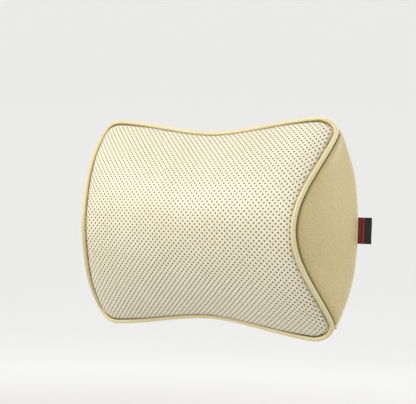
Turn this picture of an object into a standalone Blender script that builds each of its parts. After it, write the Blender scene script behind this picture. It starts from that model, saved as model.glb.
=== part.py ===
"""Headrest neck pillow: a foam cushion in a sewn leather cover with a strap behind it.

Frame: metres, +Z up, +X to the right as seen from the front, the padded front faces -Y.
The origin is the centre of the flat rear face, which bears on the headrest.
"""
import math

import bmesh
import bpy
from mathutils import Vector

MM = 0.001

# Cushion outline
LENGTH = 270 * MM              # over the four corner tips, along X
END_HEIGHT = 208 * MM          # at the two ends, along Z
WAIST_HEIGHT = 180 * MM        # at the middle
FRONT_RISE_MIDDLE = 62 * MM    # front crest ahead of the corner tips, at the middle
FRONT_RISE_END = 54 * MM       # the same, at the two ends
REAR_RISE = 28 * MM            # flat rear face behind the corner tips
REAR_FLAT = 0.40               # share of the half height that stays flat at the rear
REAR_FLAT_HALF = 40 * MM       # the rear is dead flat this far to each side of the middle
REAR_FALL = 0.25 * MM          # and falls away by this much from there to the tips
FRONT_POWER = 1.9              # section curve of the front, flatter in the middle above 2
FRONT_EDGE_POWER = 0.8         # how blunt the front meets its edges
FRONT_POWER_END = 1.5          # the same two at the end seams, where the tips are drawn out
FRONT_EDGE_POWER_END = 1.0
TAPER_POWER = 3.0              # how late along the length the section changes
WAIST_POWER = 0.86             # how the height grows from the waist to the ends
END_TUCK = 16 * MM             # front end seams drawn in at mid-height
END_BOW = 7 * MM               # rear end seams bowed out at mid-height
TUCK_POWER = 1.3               # how the end seams curve between the tips
END_CROWN = 10.5 * MM          # how far the end panels bulge out
CORNER_RUN = 24 * MM           # the tips drop over this length
CORNER_DROP = 11.5 * MM
CORNER_POWER = 2.5

# Layers, from the outside in
PANEL_THICKNESS = 1.4 * MM
PIPING_RADIUS = 2.2 * MM
PIPING_CORNER = 6 * MM         # length taken off each tip to bend the piping round it
EDGE_INSET = PIPING_RADIUS / (1.375 * MM)   # how much further inner layers stay in at the edges, to clear the piping
PIPING_GAP = 0.8 * MM          # between the piping and the panels' edges
SEAM_MARGIN = PIPING_RADIUS + PIPING_GAP   # panel edge to the centre of the piping
LAYER_GAP = 0.5 * MM
LINER_THICKNESS = 0.8 * MM
LINER_SLIT = 110 * MM          # length of the liner's rear slit, each side of the middle
CLEARANCE = 0.3 * MM           # between pieces that touch

# Zip across the rear
ZIP_HEIGHT = -25 * MM          # where the zip crosses the rear
ZIP_EDGE_GAP = 0.5 * MM        # from the slider's side to each rear panel's edge
TAPE_WIDTH = 9.5 * MM
TAPE_THICKNESS = 0.5 * MM
TAPE_INSET = 2 * MM            # from the tapes' ends to the corner tips
COIL_WIDTH = 1.6 * MM
COIL_THICKNESS = 1.7 * MM
COIL_INSET = 3 * MM            # from the teeth's ends to the tapes' ends
COIL_HALF_GAP = 0.15 * MM
COIL_PARTING = 1.3 * MM        # how far each row swings out round the slider's wedge
PARTING_RUN = 7 * MM
SLIDER_INSET = 12 * MM         # from the shut slider's centre to the teeth's ends
SLIDER_LENGTH = 11 * MM
SLIDER_WIDTH = 8 * MM
SLIDER_PLATE = 0.8 * MM
SLIDER_FLANGE = 0.6 * MM
WEDGE_WIDTH = 2.2 * MM
WEDGE_LENGTH = 4.3 * MM
BRIDGE_LENGTH = 5.8 * MM
BRIDGE_WIDTH = 1.8 * MM
BRIDGE_HEIGHT = 2.9 * MM
BRIDGE_BAR = 1.0 * MM
PULL_LENGTH = 24 * MM
PULL_WIDTH = 7.2 * MM
PULL_THICKNESS = 1.1 * MM
PULL_RISE = 1.0 * MM            # hinge line above the slider's top plate
STOP_LENGTH = 3 * MM
BOTTOM_STOP_INSET = 8 * MM     # from the teeth's end, so that the open slider's pull clears the piping

# Strap loop behind the cushion
WEB_WIDTH = 25 * MM
WEB_THICKNESS = 1.4 * MM
LOOP_DEPTH = 58 * MM           # centre of the buckle behind the rear face
LOOP_HALF_WIDTH = 95 * MM
TAB_LENGTH = 26 * MM
TAB_SIDE = 4.5 * MM            # of the tab on each side of the webbing
TAB_THICKNESS = 1.4 * MM
TAB_EDGE = 1.5 * MM            # from the tab's edge to the start of the strap's bend
FRONT_BEND = 14 * MM
REAR_BEND = 20 * MM

# Side-release buckle, for the webbing above
BUCKLE_SIDE = 4 * MM           # of the buckle on each side of the webbing
BUCKLE_THICKNESS = 9 * MM
SOCKET_MOUTH = 4 * MM          # from the middle of the loop
SOCKET_LENGTH = 26 * MM
SOCKET_WALL = 2.9 * MM
SOCKET_SKIN = 1.9 * MM
SOCKET_FLOOR = 3 * MM
WINDOW_NEAR = 9 * MM           # window, measured back from the mouth
WINDOW_LENGTH = 11 * MM
BAR_WIDTH = 2.8 * MM
BAR_THICKNESS = 4 * MM
BAR_SLOT = 5 * MM
BAR_RAIL = 3.3 * MM
SOCKET_TAIL = 12 * MM
PLUG_BASE = 13 * MM
PLUG_TAIL = 10 * MM
PLUG_STEP = 0.7 * MM           # plug is this much thinner than the socket, each side
TONGUE_WIDTH = 6 * MM
TONGUE_LENGTH = 18 * MM
ARM_THICKNESS = 4.4 * MM
ARM_ROOT = 9.7 * MM            # arm's centre line at its root, from the middle
ARM_BEAM = 2.4 * MM
ARM_FIT = 0.4 * MM

# Three-bar strap adjuster
ADJUSTER_CENTRE = 60 * MM
ADJUSTER_LENGTH = 24 * MM
ADJUSTER_BAR = 2.5 * MM
ADJUSTER_MIDDLE_BAR = 2.8 * MM
ADJUSTER_THICKNESS = 1.8 * MM
ADJUSTER_RAIL = 2.5 * MM

# Folded side label
LABEL_HEIGHT = 25 * MM
LABEL_CENTRE = -1 * MM
LABEL_PROUD = 14 * MM
LABEL_PLY = 0.5 * MM

HALF_LENGTH = LENGTH / 2
ZIP_WINDOW = SLIDER_WIDTH / 2 + ZIP_EDGE_GAP   # from the zip's line to each rear panel's edge
TAPE_END = HALF_LENGTH - TAPE_INSET
COIL_END = TAPE_END - COIL_INSET
SLIDER_CLOSED = COIL_END - SLIDER_INSET
TAB_HEIGHT = WEB_WIDTH + 2 * TAB_SIDE
BUCKLE_WIDTH = WEB_WIDTH + 2 * BUCKLE_SIDE
COLUMNS = 20                   # grid steps along X
ROWS = 14                      # grid steps from the lower to the upper edge
END_STEPS = 6                  # grid steps from the front to the rear seam


def clear_scene():
    """Remove every object that is in the file."""
    for old in list(bpy.data.objects):
        bpy.data.objects.remove(old, do_unlink=True)


def new_collection(name):
    """Add a collection to the scene."""
    group = bpy.data.collections.new(name)
    bpy.context.scene.collection.children.link(group)
    return group


def new_material(name, colour, roughness, metallic=0.0):
    """One Principled material."""
    material = bpy.data.materials.new(name)
    material.use_nodes = True
    shader = material.node_tree.nodes["Principled BSDF"]
    shader.inputs["Base Color"].default_value = (*colour, 1.0)
    shader.inputs["Roughness"].default_value = roughness
    shader.inputs["Metallic"].default_value = metallic
    return material


clear_scene()
PARTS = new_collection("neck_pillow")
CUTTERS = new_collection("cutters")
LEATHER = new_material("cream_leather", (0.66, 0.56, 0.36), 0.45)
FRONT_LEATHER = new_material("perforated_leather", (0.72, 0.64, 0.45), 0.5)
PIPING = new_material("piping_leather", (0.70, 0.60, 0.38), 0.42)
FOAM = new_material("memory_foam", (0.85, 0.80, 0.62), 0.95)
LINER = new_material("knitted_liner", (0.80, 0.80, 0.78), 0.9)
WEBBING = new_material("black_webbing", (0.012, 0.012, 0.013), 0.85)
ACETAL = new_material("black_acetal", (0.02, 0.02, 0.022), 0.4)
ZIP_TAPE = new_material("zip_tape", (0.62, 0.54, 0.37), 0.9)
NYLON_COIL = new_material("nylon_coil", (0.66, 0.58, 0.42), 0.5)
ZINC = new_material("plated_zinc", (0.62, 0.62, 0.60), 0.3, 1.0)
LABEL = new_material("black_label", (0.01, 0.01, 0.01), 0.8)


# ---------------------------------------------------------------- shape of the cushion

def half_height(x):
    """Half the height of the cushion at x."""
    reach = min(abs(x) / HALF_LENGTH, 1.0)
    growth = ((1 - math.cos(math.pi * reach)) / 2) ** WAIST_POWER
    height = (WAIST_HEIGHT + (END_HEIGHT - WAIST_HEIGHT) * growth) / 2
    run = max(0.0, (abs(x) - HALF_LENGTH + CORNER_RUN) / CORNER_RUN)
    return height - CORNER_DROP * min(run, 1.0) ** CORNER_POWER


def seam_shift(x, share, amount):
    """Move x for the tuck or bow of the end seams at this share of the half height."""
    reach = min(abs(x) / HALF_LENGTH, 1.0)
    return x * (1 + amount / HALF_LENGTH * (1 - ((1 - math.cos(math.pi * share)) / 2) ** TUCK_POWER) * reach)


def front_rise(x):
    """How far the front crest stands ahead of the tips at x."""
    reach = min(abs(x) / HALF_LENGTH, 1.0)
    return FRONT_RISE_MIDDLE + (FRONT_RISE_END - FRONT_RISE_MIDDLE) * reach ** 2


def front_point(x, share, inset=0.0):
    """Point of the front at x and at a share, -1 to 1, of the half height."""
    height = half_height(x) - EDGE_INSET * inset
    taper = min(abs(x) / HALF_LENGTH, 1.0) ** TAPER_POWER
    power = FRONT_POWER + (FRONT_POWER_END - FRONT_POWER) * taper
    edge_power = FRONT_EDGE_POWER + (FRONT_EDGE_POWER_END - FRONT_EDGE_POWER) * taper
    bulge = max(1 - abs(share) ** power, 0.0) ** edge_power
    y = -REAR_RISE - (front_rise(x) - inset) * bulge
    return Vector((seam_shift(x, share, -END_TUCK) * scale_x(inset), y, height * share))


def rear_point(x, share, inset=0.0, depth=0.0):
    """Point of the rear at x; depth moves the flat face towards the front."""
    height = half_height(x) - EDGE_INSET * inset
    slope = max(0.0, (abs(share) - REAR_FLAT) / (1 - REAR_FLAT))
    flat = depth + rear_fall(x)
    y = -flat - (REAR_RISE - flat) * slope ** 2
    return Vector((seam_shift(x, share, END_BOW) * scale_x(inset), y, height * share))


def rear_fall(x):
    """How far the rear has fallen away from its flat middle at x."""
    return REAR_FALL * max(0.0, (abs(x) - REAR_FLAT_HALF) / (HALF_LENGTH - REAR_FLAT_HALF))


def scale_x(inset):
    """Scale along X for a layer that lies inset under the cover's surface."""
    return (HALF_LENGTH - 1.3 * inset) / HALF_LENGTH


def end_point(side, share, step, inset=0.0, depth=0.0):
    """Point of an end panel, from the front seam at step 0 to the rear seam at step 1."""
    front = front_point(side * HALF_LENGTH, share, inset)
    rear = rear_point(side * HALF_LENGTH, share, inset, depth)
    point = front.lerp(rear, step)
    crown = math.sqrt(max(1 - (2 * step - 1) ** 2, 0.0)) * math.sqrt(max(1 - share ** 2, 0.0))
    point.x += side * END_CROWN * crown
    return point


def stations(limit):
    """X stations from -limit to limit, closer together near the ends."""
    places = []
    for i in range(COLUMNS + 1):
        u = 2 * i / COLUMNS - 1
        places.append(math.copysign(limit * (1 - (1 - abs(u)) ** 1.3), u))
    return places


def shares(low, high, steps):
    """Shares of the half height, closer together near the tips."""
    first, last = math.asin(low), math.asin(high)
    return [math.sin(first + (last - first) * i / steps) for i in range(steps + 1)]


def front_edge_share(x, margin):
    """Share of the half height at which the front is a margin away from its edge."""
    edge = front_point(x, 1.0)
    near, far = 1.0, 0.5
    for _ in range(30):
        middle = (near + far) / 2
        if (front_point(x, middle) - edge).length < margin:
            near = middle
        else:
            far = middle
    return near


def rear_edge_share(x, margin):
    """The same for the rear, whose edge falls away in a straight slope."""
    height = half_height(x)
    slope = 2 * REAR_RISE / (height * (1 - REAR_FLAT))
    return 1 - margin / (height * math.hypot(1, slope))


def corner_cut(x):
    """Extra margin that keeps a panel's corner clear of the piping bent round the tip."""
    run = (abs(x) - (HALF_LENGTH - SEAM_MARGIN - 2 * PIPING_CORNER)) / (2 * PIPING_CORNER)
    return max(0.0, run) * PIPING_CORNER / 2


# ---------------------------------------------------------------- building helpers

def add_object(name, mesh, material, group=None):
    """Link a mesh as an object with one material."""
    thing = bpy.data.objects.new(name, mesh)
    (group or PARTS).objects.link(thing)
    if material:
        mesh.materials.append(material)
    return thing


def mesh_from(bm, name, smooth=True):
    """Turn a bmesh into a mesh and free it."""
    mesh = bpy.data.meshes.new(name)
    bm.to_mesh(mesh)
    bm.free()
    if smooth:
        mesh.shade_smooth()
        mesh.set_sharp_from_angle(angle=math.radians(40))
    return mesh


def add_grid(bm, rows, flip=False):
    """Skin a list of equally long rows of points with quads."""
    lines = [[bm.verts.new(point) for point in row] for row in rows]
    for lower, upper in zip(lines, lines[1:]):
        for i in range(len(lower) - 1):
            quad = [lower[i], lower[i + 1], upper[i + 1], upper[i]]
            bm.faces.new(quad[::-1] if flip else quad)


def weld(bm):
    """Join the grids' shared edges and drop the faces that close up at the tips."""
    bmesh.ops.remove_doubles(bm, verts=bm.verts, dist=1e-6)
    bmesh.ops.dissolve_degenerate(bm, edges=bm.edges, dist=1e-7)
    bmesh.ops.recalc_face_normals(bm, faces=bm.faces)


def thicken(thing, thickness, offset=-1.0):
    """Give an open surface a thickness, by default towards its inside."""
    shell = thing.modifiers.new("thickness", "SOLIDIFY")
    shell.thickness = thickness
    shell.offset = offset
    shell.use_even_offset = True
    return thing


def sewn_panel(name, rows, material, flip):
    """A sewn panel: a grid of points given the leather's thickness inwards."""
    bm = bmesh.new()
    add_grid(bm, rows, flip)
    panel = add_object(name, mesh_from(bm, name), material)
    return thicken(panel, PANEL_THICKNESS)


def box(name, low, high, material=None, bevel=0.0, group=None):
    """A box between two corners, with rounded edges if a bevel is given."""
    low, high = Vector(low), Vector(high)
    bm = bmesh.new()
    bmesh.ops.create_cube(bm, size=1.0)
    bmesh.ops.scale(bm, vec=high - low, verts=bm.verts)
    bmesh.ops.translate(bm, vec=(low + high) / 2, verts=bm.verts)
    thing = add_object(name, mesh_from(bm, name, smooth=False), material, group)
    if bevel:
        round_edges(thing, bevel)
    return thing


def round_edges(thing, width, segments=2):
    """Round the sharp edges of a solid."""
    rounding = thing.modifiers.new("rounding", "BEVEL")
    rounding.width = width
    rounding.segments = segments
    rounding.limit_method = "ANGLE"
    rounding.angle_limit = math.radians(40)


def hide_tool(thing):
    """Keep a cutting or joining body out of the model."""
    thing.hide_render = True
    thing.display_type = "WIRE"
    return thing


def combine(thing, tools, operation="DIFFERENCE"):
    """Cut tools out of a solid, or join them to it."""
    for tool in tools:
        change = thing.modifiers.new(tool.name, "BOOLEAN")
        change.operation = operation
        change.solver = "EXACT"
        change.object = hide_tool(tool)
    return thing


def tool_box(name, low, high):
    """A box that cuts or joins."""
    return box(name, low, high, group=CUTTERS)


def plate(name, outlines, thickness, y, material, group=None):
    """A flat plate in the XZ plane from closed outlines; the inner ones are holes."""
    curve = bpy.data.curves.new(name, "CURVE")
    curve.dimensions = "2D"
    curve.fill_mode = "BOTH"
    curve.extrude = thickness / 2
    for outline in outlines:
        spline = curve.splines.new("POLY")
        spline.points.add(len(outline) - 1)
        spline.use_cyclic_u = True
        for point, (x, z) in zip(spline.points, outline):
            point.co = (x, z, 0.0, 1.0)
    source = bpy.data.objects.new(name + "_outline", curve)
    CUTTERS.objects.link(source)
    bpy.context.view_layer.update()
    mesh = bpy.data.meshes.new_from_object(source.evaluated_get(bpy.context.evaluated_depsgraph_get()))
    bpy.data.objects.remove(source)
    bm = bmesh.new()
    bm.from_mesh(mesh)
    bpy.data.meshes.remove(mesh)
    bmesh.ops.remove_doubles(bm, verts=bm.verts, dist=1e-6)
    for vert in bm.verts:
        vert.co = Vector((vert.co.x, y - vert.co.z, vert.co.y))
    bmesh.ops.recalc_face_normals(bm, faces=bm.faces)
    return add_object(name, mesh_from(bm, name, smooth=False), material, group)


def rectangle(x_low, x_high, z_low, z_high):
    """Corners of a rectangle in the XZ plane."""
    return [(x_low, z_low), (x_high, z_low), (x_high, z_high), (x_low, z_high)]


def tube(name, points, radius, material, closed=False):
    """A round cord along a list of points."""
    curve = bpy.data.curves.new(name, "CURVE")
    curve.dimensions = "3D"
    curve.bevel_depth = radius
    curve.bevel_resolution = 2
    curve.use_fill_caps = not closed
    spline = curve.splines.new("POLY")
    spline.points.add(len(points) - 1)
    spline.use_cyclic_u = closed
    for place, point in zip(spline.points, points):
        place.co = (*point, 1.0)
    thing = bpy.data.objects.new(name, curve)
    curve.materials.append(material)
    PARTS.objects.link(thing)
    return thing


def bend(before, corner, after, length, steps=6):
    """Replace a corner by a smooth curve that starts and ends a length away from it."""
    start = corner + (before - corner).normalized() * length
    stop = corner + (after - corner).normalized() * length
    curve = []
    for i in range(steps + 1):
        t = i / steps
        curve.append(start * (1 - t) ** 2 + corner * 2 * t * (1 - t) + stop * t ** 2)
    return curve


def ribbon(name, path, width, thickness, height, material):
    """Flat webbing on edge: a path in the XY plane, swept along Z and given a thickness."""
    bm = bmesh.new()
    rows = [[Vector((x, y, height + width * step / 2)) for x, y in path] for step in (-1, 1)]
    add_grid(bm, rows)
    thing = add_object(name, mesh_from(bm, name), material)
    return thicken(thing, thickness, offset=0.0)


def rounded_path(corners):
    """A path through (x, y, radius) corners, each corner turned into an arc."""
    points = [Vector(c[:2]) for c in corners]
    path = [tuple(points[0])]
    for i in range(1, len(points) - 1):
        radius = corners[i][2]
        before = (points[i - 1] - points[i]).normalized()
        after = (points[i + 1] - points[i]).normalized()
        half = before.angle(after) / 2
        reach = radius / math.tan(half)
        centre = points[i] + (before + after).normalized() * (radius / math.sin(half))
        start = points[i] + before * reach - centre
        stop = points[i] + after * reach - centre
        turn = start.angle_signed(stop)
        steps = max(2, math.ceil(abs(turn) / math.radians(22)))
        for k in range(steps + 1):
            angle = -turn * k / steps
            spoke = Vector((start.x * math.cos(angle) - start.y * math.sin(angle),
                            start.x * math.sin(angle) + start.y * math.cos(angle)))
            path.append(tuple(centre + spoke))
    path.append(tuple(points[-1]))
    return path


# ---------------------------------------------------------------- cushion and cover

def cushion_body(inset, depth):
    """The whole closed surface of a layer inside the cover."""
    bm = bmesh.new()
    columns = stations(HALF_LENGTH)
    levels = shares(-1, 1, ROWS)
    add_grid(bm, [[front_point(x, share, inset) for x in columns] for share in levels])
    add_grid(bm, [[rear_point(x, share, inset, depth) for x in columns] for share in levels])
    for side in (-1, 1):
        add_grid(bm, [[end_point(side, share, i / END_STEPS, inset, depth)
                       for i in range(END_STEPS + 1)] for share in levels])
    weld(bm)
    return bm


def build_filling():
    """The foam core and the liner sewn round it."""
    liner_inset = PANEL_THICKNESS + LAYER_GAP
    liner_depth = liner_inset + TAPE_THICKNESS + SLIDER_PLATE + 4 * CLEARANCE
    foam_inset = liner_inset + LINER_THICKNESS + LAYER_GAP
    foam_depth = liner_depth + LINER_THICKNESS + LAYER_GAP

    add_object("foam_core", mesh_from(cushion_body(foam_inset, foam_depth), "foam_core"), FOAM)

    bm = cushion_body(liner_inset, liner_depth)
    slit = [face for face in bm.faces if face.normal.y > 0.98
            and abs(face.calc_center_median().x) < LINER_SLIT
            and 0 < face.calc_center_median().z < half_height(0) / 4]
    bmesh.ops.delete(bm, geom=slit, context="FACES")
    thicken(add_object("inner_liner", mesh_from(bm, "inner_liner"), LINER), LINER_THICKNESS)


def build_front_panel():
    """The perforated front, from edge to edge."""
    columns = stations(HALF_LENGTH - SEAM_MARGIN - CLEARANCE)
    rows = []
    for k in range(ROWS + 1):
        row = []
        for x in columns:
            limit = front_edge_share(x, SEAM_MARGIN + corner_cut(x) / 3)
            row.append(front_point(x, shares(-limit, limit, ROWS)[k]))
        rows.append(row)
    sewn_panel("front_panel", rows, FRONT_LEATHER, flip=False)


def build_end_panels():
    """The crowned end panels, drawn in to a narrow tip at the top and the bottom."""
    for side, name in ((-1, "end_panel_left"), (1, "end_panel_right")):
        rows = []
        limit = 1 - 3.2 * SEAM_MARGIN / END_HEIGHT
        for share in shares(-limit, limit, ROWS):
            width = (end_point(side, share, 1) - end_point(side, share, 0)).length
            margin = SEAM_MARGIN / width
            steps = [margin + (1 - 2 * margin) * i / END_STEPS for i in range(END_STEPS + 1)]
            rows.append([end_point(side, share, step) for step in steps])
        sewn_panel(name, rows, LEATHER, flip=side < 0)


def build_rear_panels():
    """The two rear panels, above and below the zip."""
    columns = stations(HALF_LENGTH - SEAM_MARGIN)
    steps = ROWS // 2
    upper = []
    lower = []
    for k in range(steps + 1):
        upper.append([])
        lower.append([])
        for x in columns:
            limit = rear_edge_share(x, SEAM_MARGIN + corner_cut(x))
            height = half_height(x)
            low_edge = (ZIP_HEIGHT - ZIP_WINDOW) / height
            high_edge = (ZIP_HEIGHT + ZIP_WINDOW) / height
            lower[k].append(rear_point(x, shares(-limit, low_edge, steps)[k]))
            upper[k].append(rear_point(x, shares(high_edge, limit, steps)[k]))
    sewn_panel("rear_panel_upper", upper, LEATHER, flip=True)
    sewn_panel("rear_panel_lower", lower, LEATHER, flip=True)


def build_piping():
    """Piping round the front panel, and down each rear end seam."""
    levels = shares(-1, 1, 2 * ROWS)
    columns = stations(HALF_LENGTH)
    right = [front_point(HALF_LENGTH, share) for share in reversed(levels)]
    left = [front_point(-HALF_LENGTH, share) for share in levels]
    top = [front_point(x, 1) for x in columns]
    bottom = [front_point(x, -1) for x in reversed(columns)]
    loop = []
    sides = [top, right, bottom, left]
    for i, side in enumerate(sides):
        following = sides[(i + 1) % 4]
        tip = side[-1]
        ends = (side[0], side[-1])
        loop += [p for p in side[1:-1]
                 if min((p - end).length for end in ends) > PIPING_CORNER + 2 * PIPING_RADIUS]
        before = [p for p in side if (p - tip).length > PIPING_CORNER][-1]
        after = [p for p in following if (p - tip).length > PIPING_CORNER][0]
        loop += bend(before, tip, after, PIPING_CORNER)
    tube("front_piping", loop, PIPING_RADIUS, PIPING, closed=True)

    for side, name in ((-1, "rear_piping_left"), (1, "rear_piping_right")):
        seam = [rear_point(side * HALF_LENGTH, share) for share in shares(-1, 1, 2 * ROWS)]
        start = 2 * PIPING_RADIUS + CLEARANCE
        seam = [p for p in seam if min((p - seam[0]).length, (p - seam[-1]).length) > start]
        tube(name, seam, PIPING_RADIUS, PIPING)


# ---------------------------------------------------------------- zip

TAPE_TOP = -PANEL_THICKNESS - 1.2 * CLEARANCE
COIL_BOTTOM = TAPE_TOP + CLEARANCE
COIL_TOP = COIL_BOTTOM + COIL_THICKNESS
TAPE_BOTTOM = TAPE_TOP - TAPE_THICKNESS
PLATE_TOP = COIL_TOP + CLEARANCE + SLIDER_PLATE
PULL_AXIS_Y = PLATE_TOP + PULL_RISE


def parting(x):
    """How far a row of teeth stands off the zip's line at x, with the slider shut."""
    start = SLIDER_CLOSED + SLIDER_LENGTH / 2 - WEDGE_LENGTH - PARTING_RUN
    t = min(max((x - start) / PARTING_RUN, 0.0), 1.0)
    return COIL_HALF_GAP + COIL_PARTING * t * t * (3 - 2 * t)


def zip_strip(name, side, limit, width, y, thickness, material):
    """A flat strip beside the zip's line, whose inner edge parts round the wedge."""
    places = [-limit] + [x for x in linear(SLIDER_CLOSED - 2 * PARTING_RUN, SLIDER_CLOSED, 16)] + [limit]
    inner = [(x, ZIP_HEIGHT + side * parting(x)) for x in places]
    outer = [(x, ZIP_HEIGHT + side * width(x)) for x in reversed(places)]
    return plate(name, [inner + outer], thickness, y, material)


def linear(low, high, steps):
    """Evenly spaced values."""
    return [low + (high - low) * i / steps for i in range(steps + 1)]


def build_zip():
    """The tapes, the rows of teeth, the stops, the slider and its pull."""
    for side, word in ((1, "upper"), (-1, "lower")):
        zip_strip("zip_tape_" + word, side, TAPE_END, lambda x: TAPE_WIDTH,
                  TAPE_TOP - TAPE_THICKNESS / 2, TAPE_THICKNESS, ZIP_TAPE)
        zip_strip("zip_coil_" + word, side, COIL_END, lambda x: parting(x) + COIL_WIDTH,
                  COIL_BOTTOM + COIL_THICKNESS / 2, COIL_THICKNESS, NYLON_COIL)
        near = COIL_HALF_GAP + COIL_PARTING
        z = sorted((ZIP_HEIGHT + side * near, ZIP_HEIGHT + side * (near + COIL_WIDTH)))
        x = SLIDER_CLOSED + SLIDER_LENGTH / 2 + CLEARANCE
        box("zip_stop_" + word, (x, COIL_TOP + CLEARANCE, z[0]),
            (x + STOP_LENGTH, COIL_TOP + CLEARANCE + SLIDER_PLATE, z[1]), ZINC, bevel=0.2 * MM)
    reach = COIL_HALF_GAP + COIL_WIDTH
    x = BOTTOM_STOP_INSET - COIL_END
    box("zip_bottom_stop", (x, COIL_TOP + CLEARANCE, ZIP_HEIGHT - reach),
        (x + STOP_LENGTH, COIL_TOP + CLEARANCE + SLIDER_PLATE, ZIP_HEIGHT + reach),
        ZINC, bevel=0.2 * MM)
    build_slider()
    build_pull()


def build_slider():
    """The slider: two plates joined by the wedge, with a bridge for the pull on top."""
    x, z = SLIDER_CLOSED, ZIP_HEIGHT
    half = SLIDER_WIDTH / 2
    inner = half - SLIDER_FLANGE
    back, front = x - SLIDER_LENGTH / 2, x + SLIDER_LENGTH / 2
    bottom = TAPE_BOTTOM - CLEARANCE
    top = COIL_TOP + CLEARANCE
    slider = box("zip_slider", (back, bottom - SLIDER_PLATE, z - half), (front, PLATE_TOP, z + half), ZINC)
    wedge = front - WEDGE_LENGTH
    cuts = [tool_box("slider_channel", (back - MM, bottom, z - inner), (wedge, top, z + inner)),
            tool_box("slider_tape_slot", (back - MM, bottom, z - 2 * half), (wedge, COIL_BOTTOM, z + 2 * half))]
    for side in (-1, 1):
        near, far = WEDGE_WIDTH / 2, inner
        low, high = sorted((z + side * near, z + side * far))
        cuts.append(tool_box(f"slider_throat_{side}", (wedge - MM, bottom, low), (front + MM, top, high)))
        low, high = sorted((z + side * near, z + side * 2 * half))
        cuts.append(tool_box(f"slider_side_{side}", (wedge - MM, bottom, low), (front + MM, COIL_BOTTOM, high)))
    combine(slider, cuts)
    reach = BRIDGE_LENGTH / 2
    overlap = SLIDER_PLATE / 2
    bridge = tool_box("slider_bridge", (x - reach, PLATE_TOP - overlap, z - BRIDGE_WIDTH / 2),
                      (x + reach, PLATE_TOP + BRIDGE_HEIGHT, z + BRIDGE_WIDTH / 2))
    combine(slider, [bridge], "UNION")
    combine(slider, [tool_box("bridge_eye", (x - reach + BRIDGE_BAR, PLATE_TOP, z - half),
                              (x + reach - BRIDGE_BAR, PLATE_TOP + BRIDGE_HEIGHT - BRIDGE_BAR * 0.9, z + half))])


def build_pull():
    """The pull tab, whose cross bar sits in the slider's bridge."""
    x, z = SLIDER_CLOSED, ZIP_HEIGHT
    half_bar = PULL_THICKNESS / 2
    half = PULL_WIDTH / 2
    neck = BRIDGE_WIDTH / 2 + ARM_FIT
    window_end = x - BRIDGE_LENGTH / 2 - 1.7 * MM
    outline = [(x + half_bar, z - half * 0.7), (x + half_bar, z + half * 0.7),
               (x - 7 * MM, z + half * 0.7), (x - 9 * MM, z + half),
               (x - PULL_LENGTH + 2 * MM, z + half), (x - PULL_LENGTH, z + half - 2 * MM),
               (x - PULL_LENGTH, z - half + 2 * MM), (x - PULL_LENGTH + 2 * MM, z - half),
               (x - 9 * MM, z - half), (x - 7 * MM, z - half * 0.7)]
    window = rectangle(window_end, x - half_bar, z - neck, z + neck)
    plate("zip_pull", [outline, window], PULL_THICKNESS, PULL_AXIS_Y, ZINC)


# ---------------------------------------------------------------- strap, buckle and adjuster

TAB_CENTRE = LOOP_HALF_WIDTH - FRONT_BEND - TAB_EDGE - TAB_LENGTH / 2
PLY_OFFSET = (WEB_THICKNESS + CLEARANCE) / 2
BAR_OFFSET = BAR_THICKNESS / 2 + CLEARANCE + WEB_THICKNESS / 2
SOCKET_BACK = SOCKET_MOUTH - SOCKET_LENGTH
SOCKET_BAR = SOCKET_BACK - SOCKET_TAIL
PLUG_FRONT = SOCKET_MOUTH + 2 * CLEARANCE
PLUG_BACK = PLUG_FRONT + PLUG_BASE
PLUG_BAR = PLUG_BACK + PLUG_TAIL


def anchor_corners(side):
    """The strap's first corners: sewn flat on the rear face, then back round the posts."""
    face = CLEARANCE + WEB_THICKNESS / 2
    return [(side * (TAB_CENTRE - TAB_LENGTH / 2 + MM), face, 0),
            (side * LOOP_HALF_WIDTH, face, FRONT_BEND),
            (side * LOOP_HALF_WIDTH, LOOP_DEPTH + PLY_OFFSET, REAR_BEND)]


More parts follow.
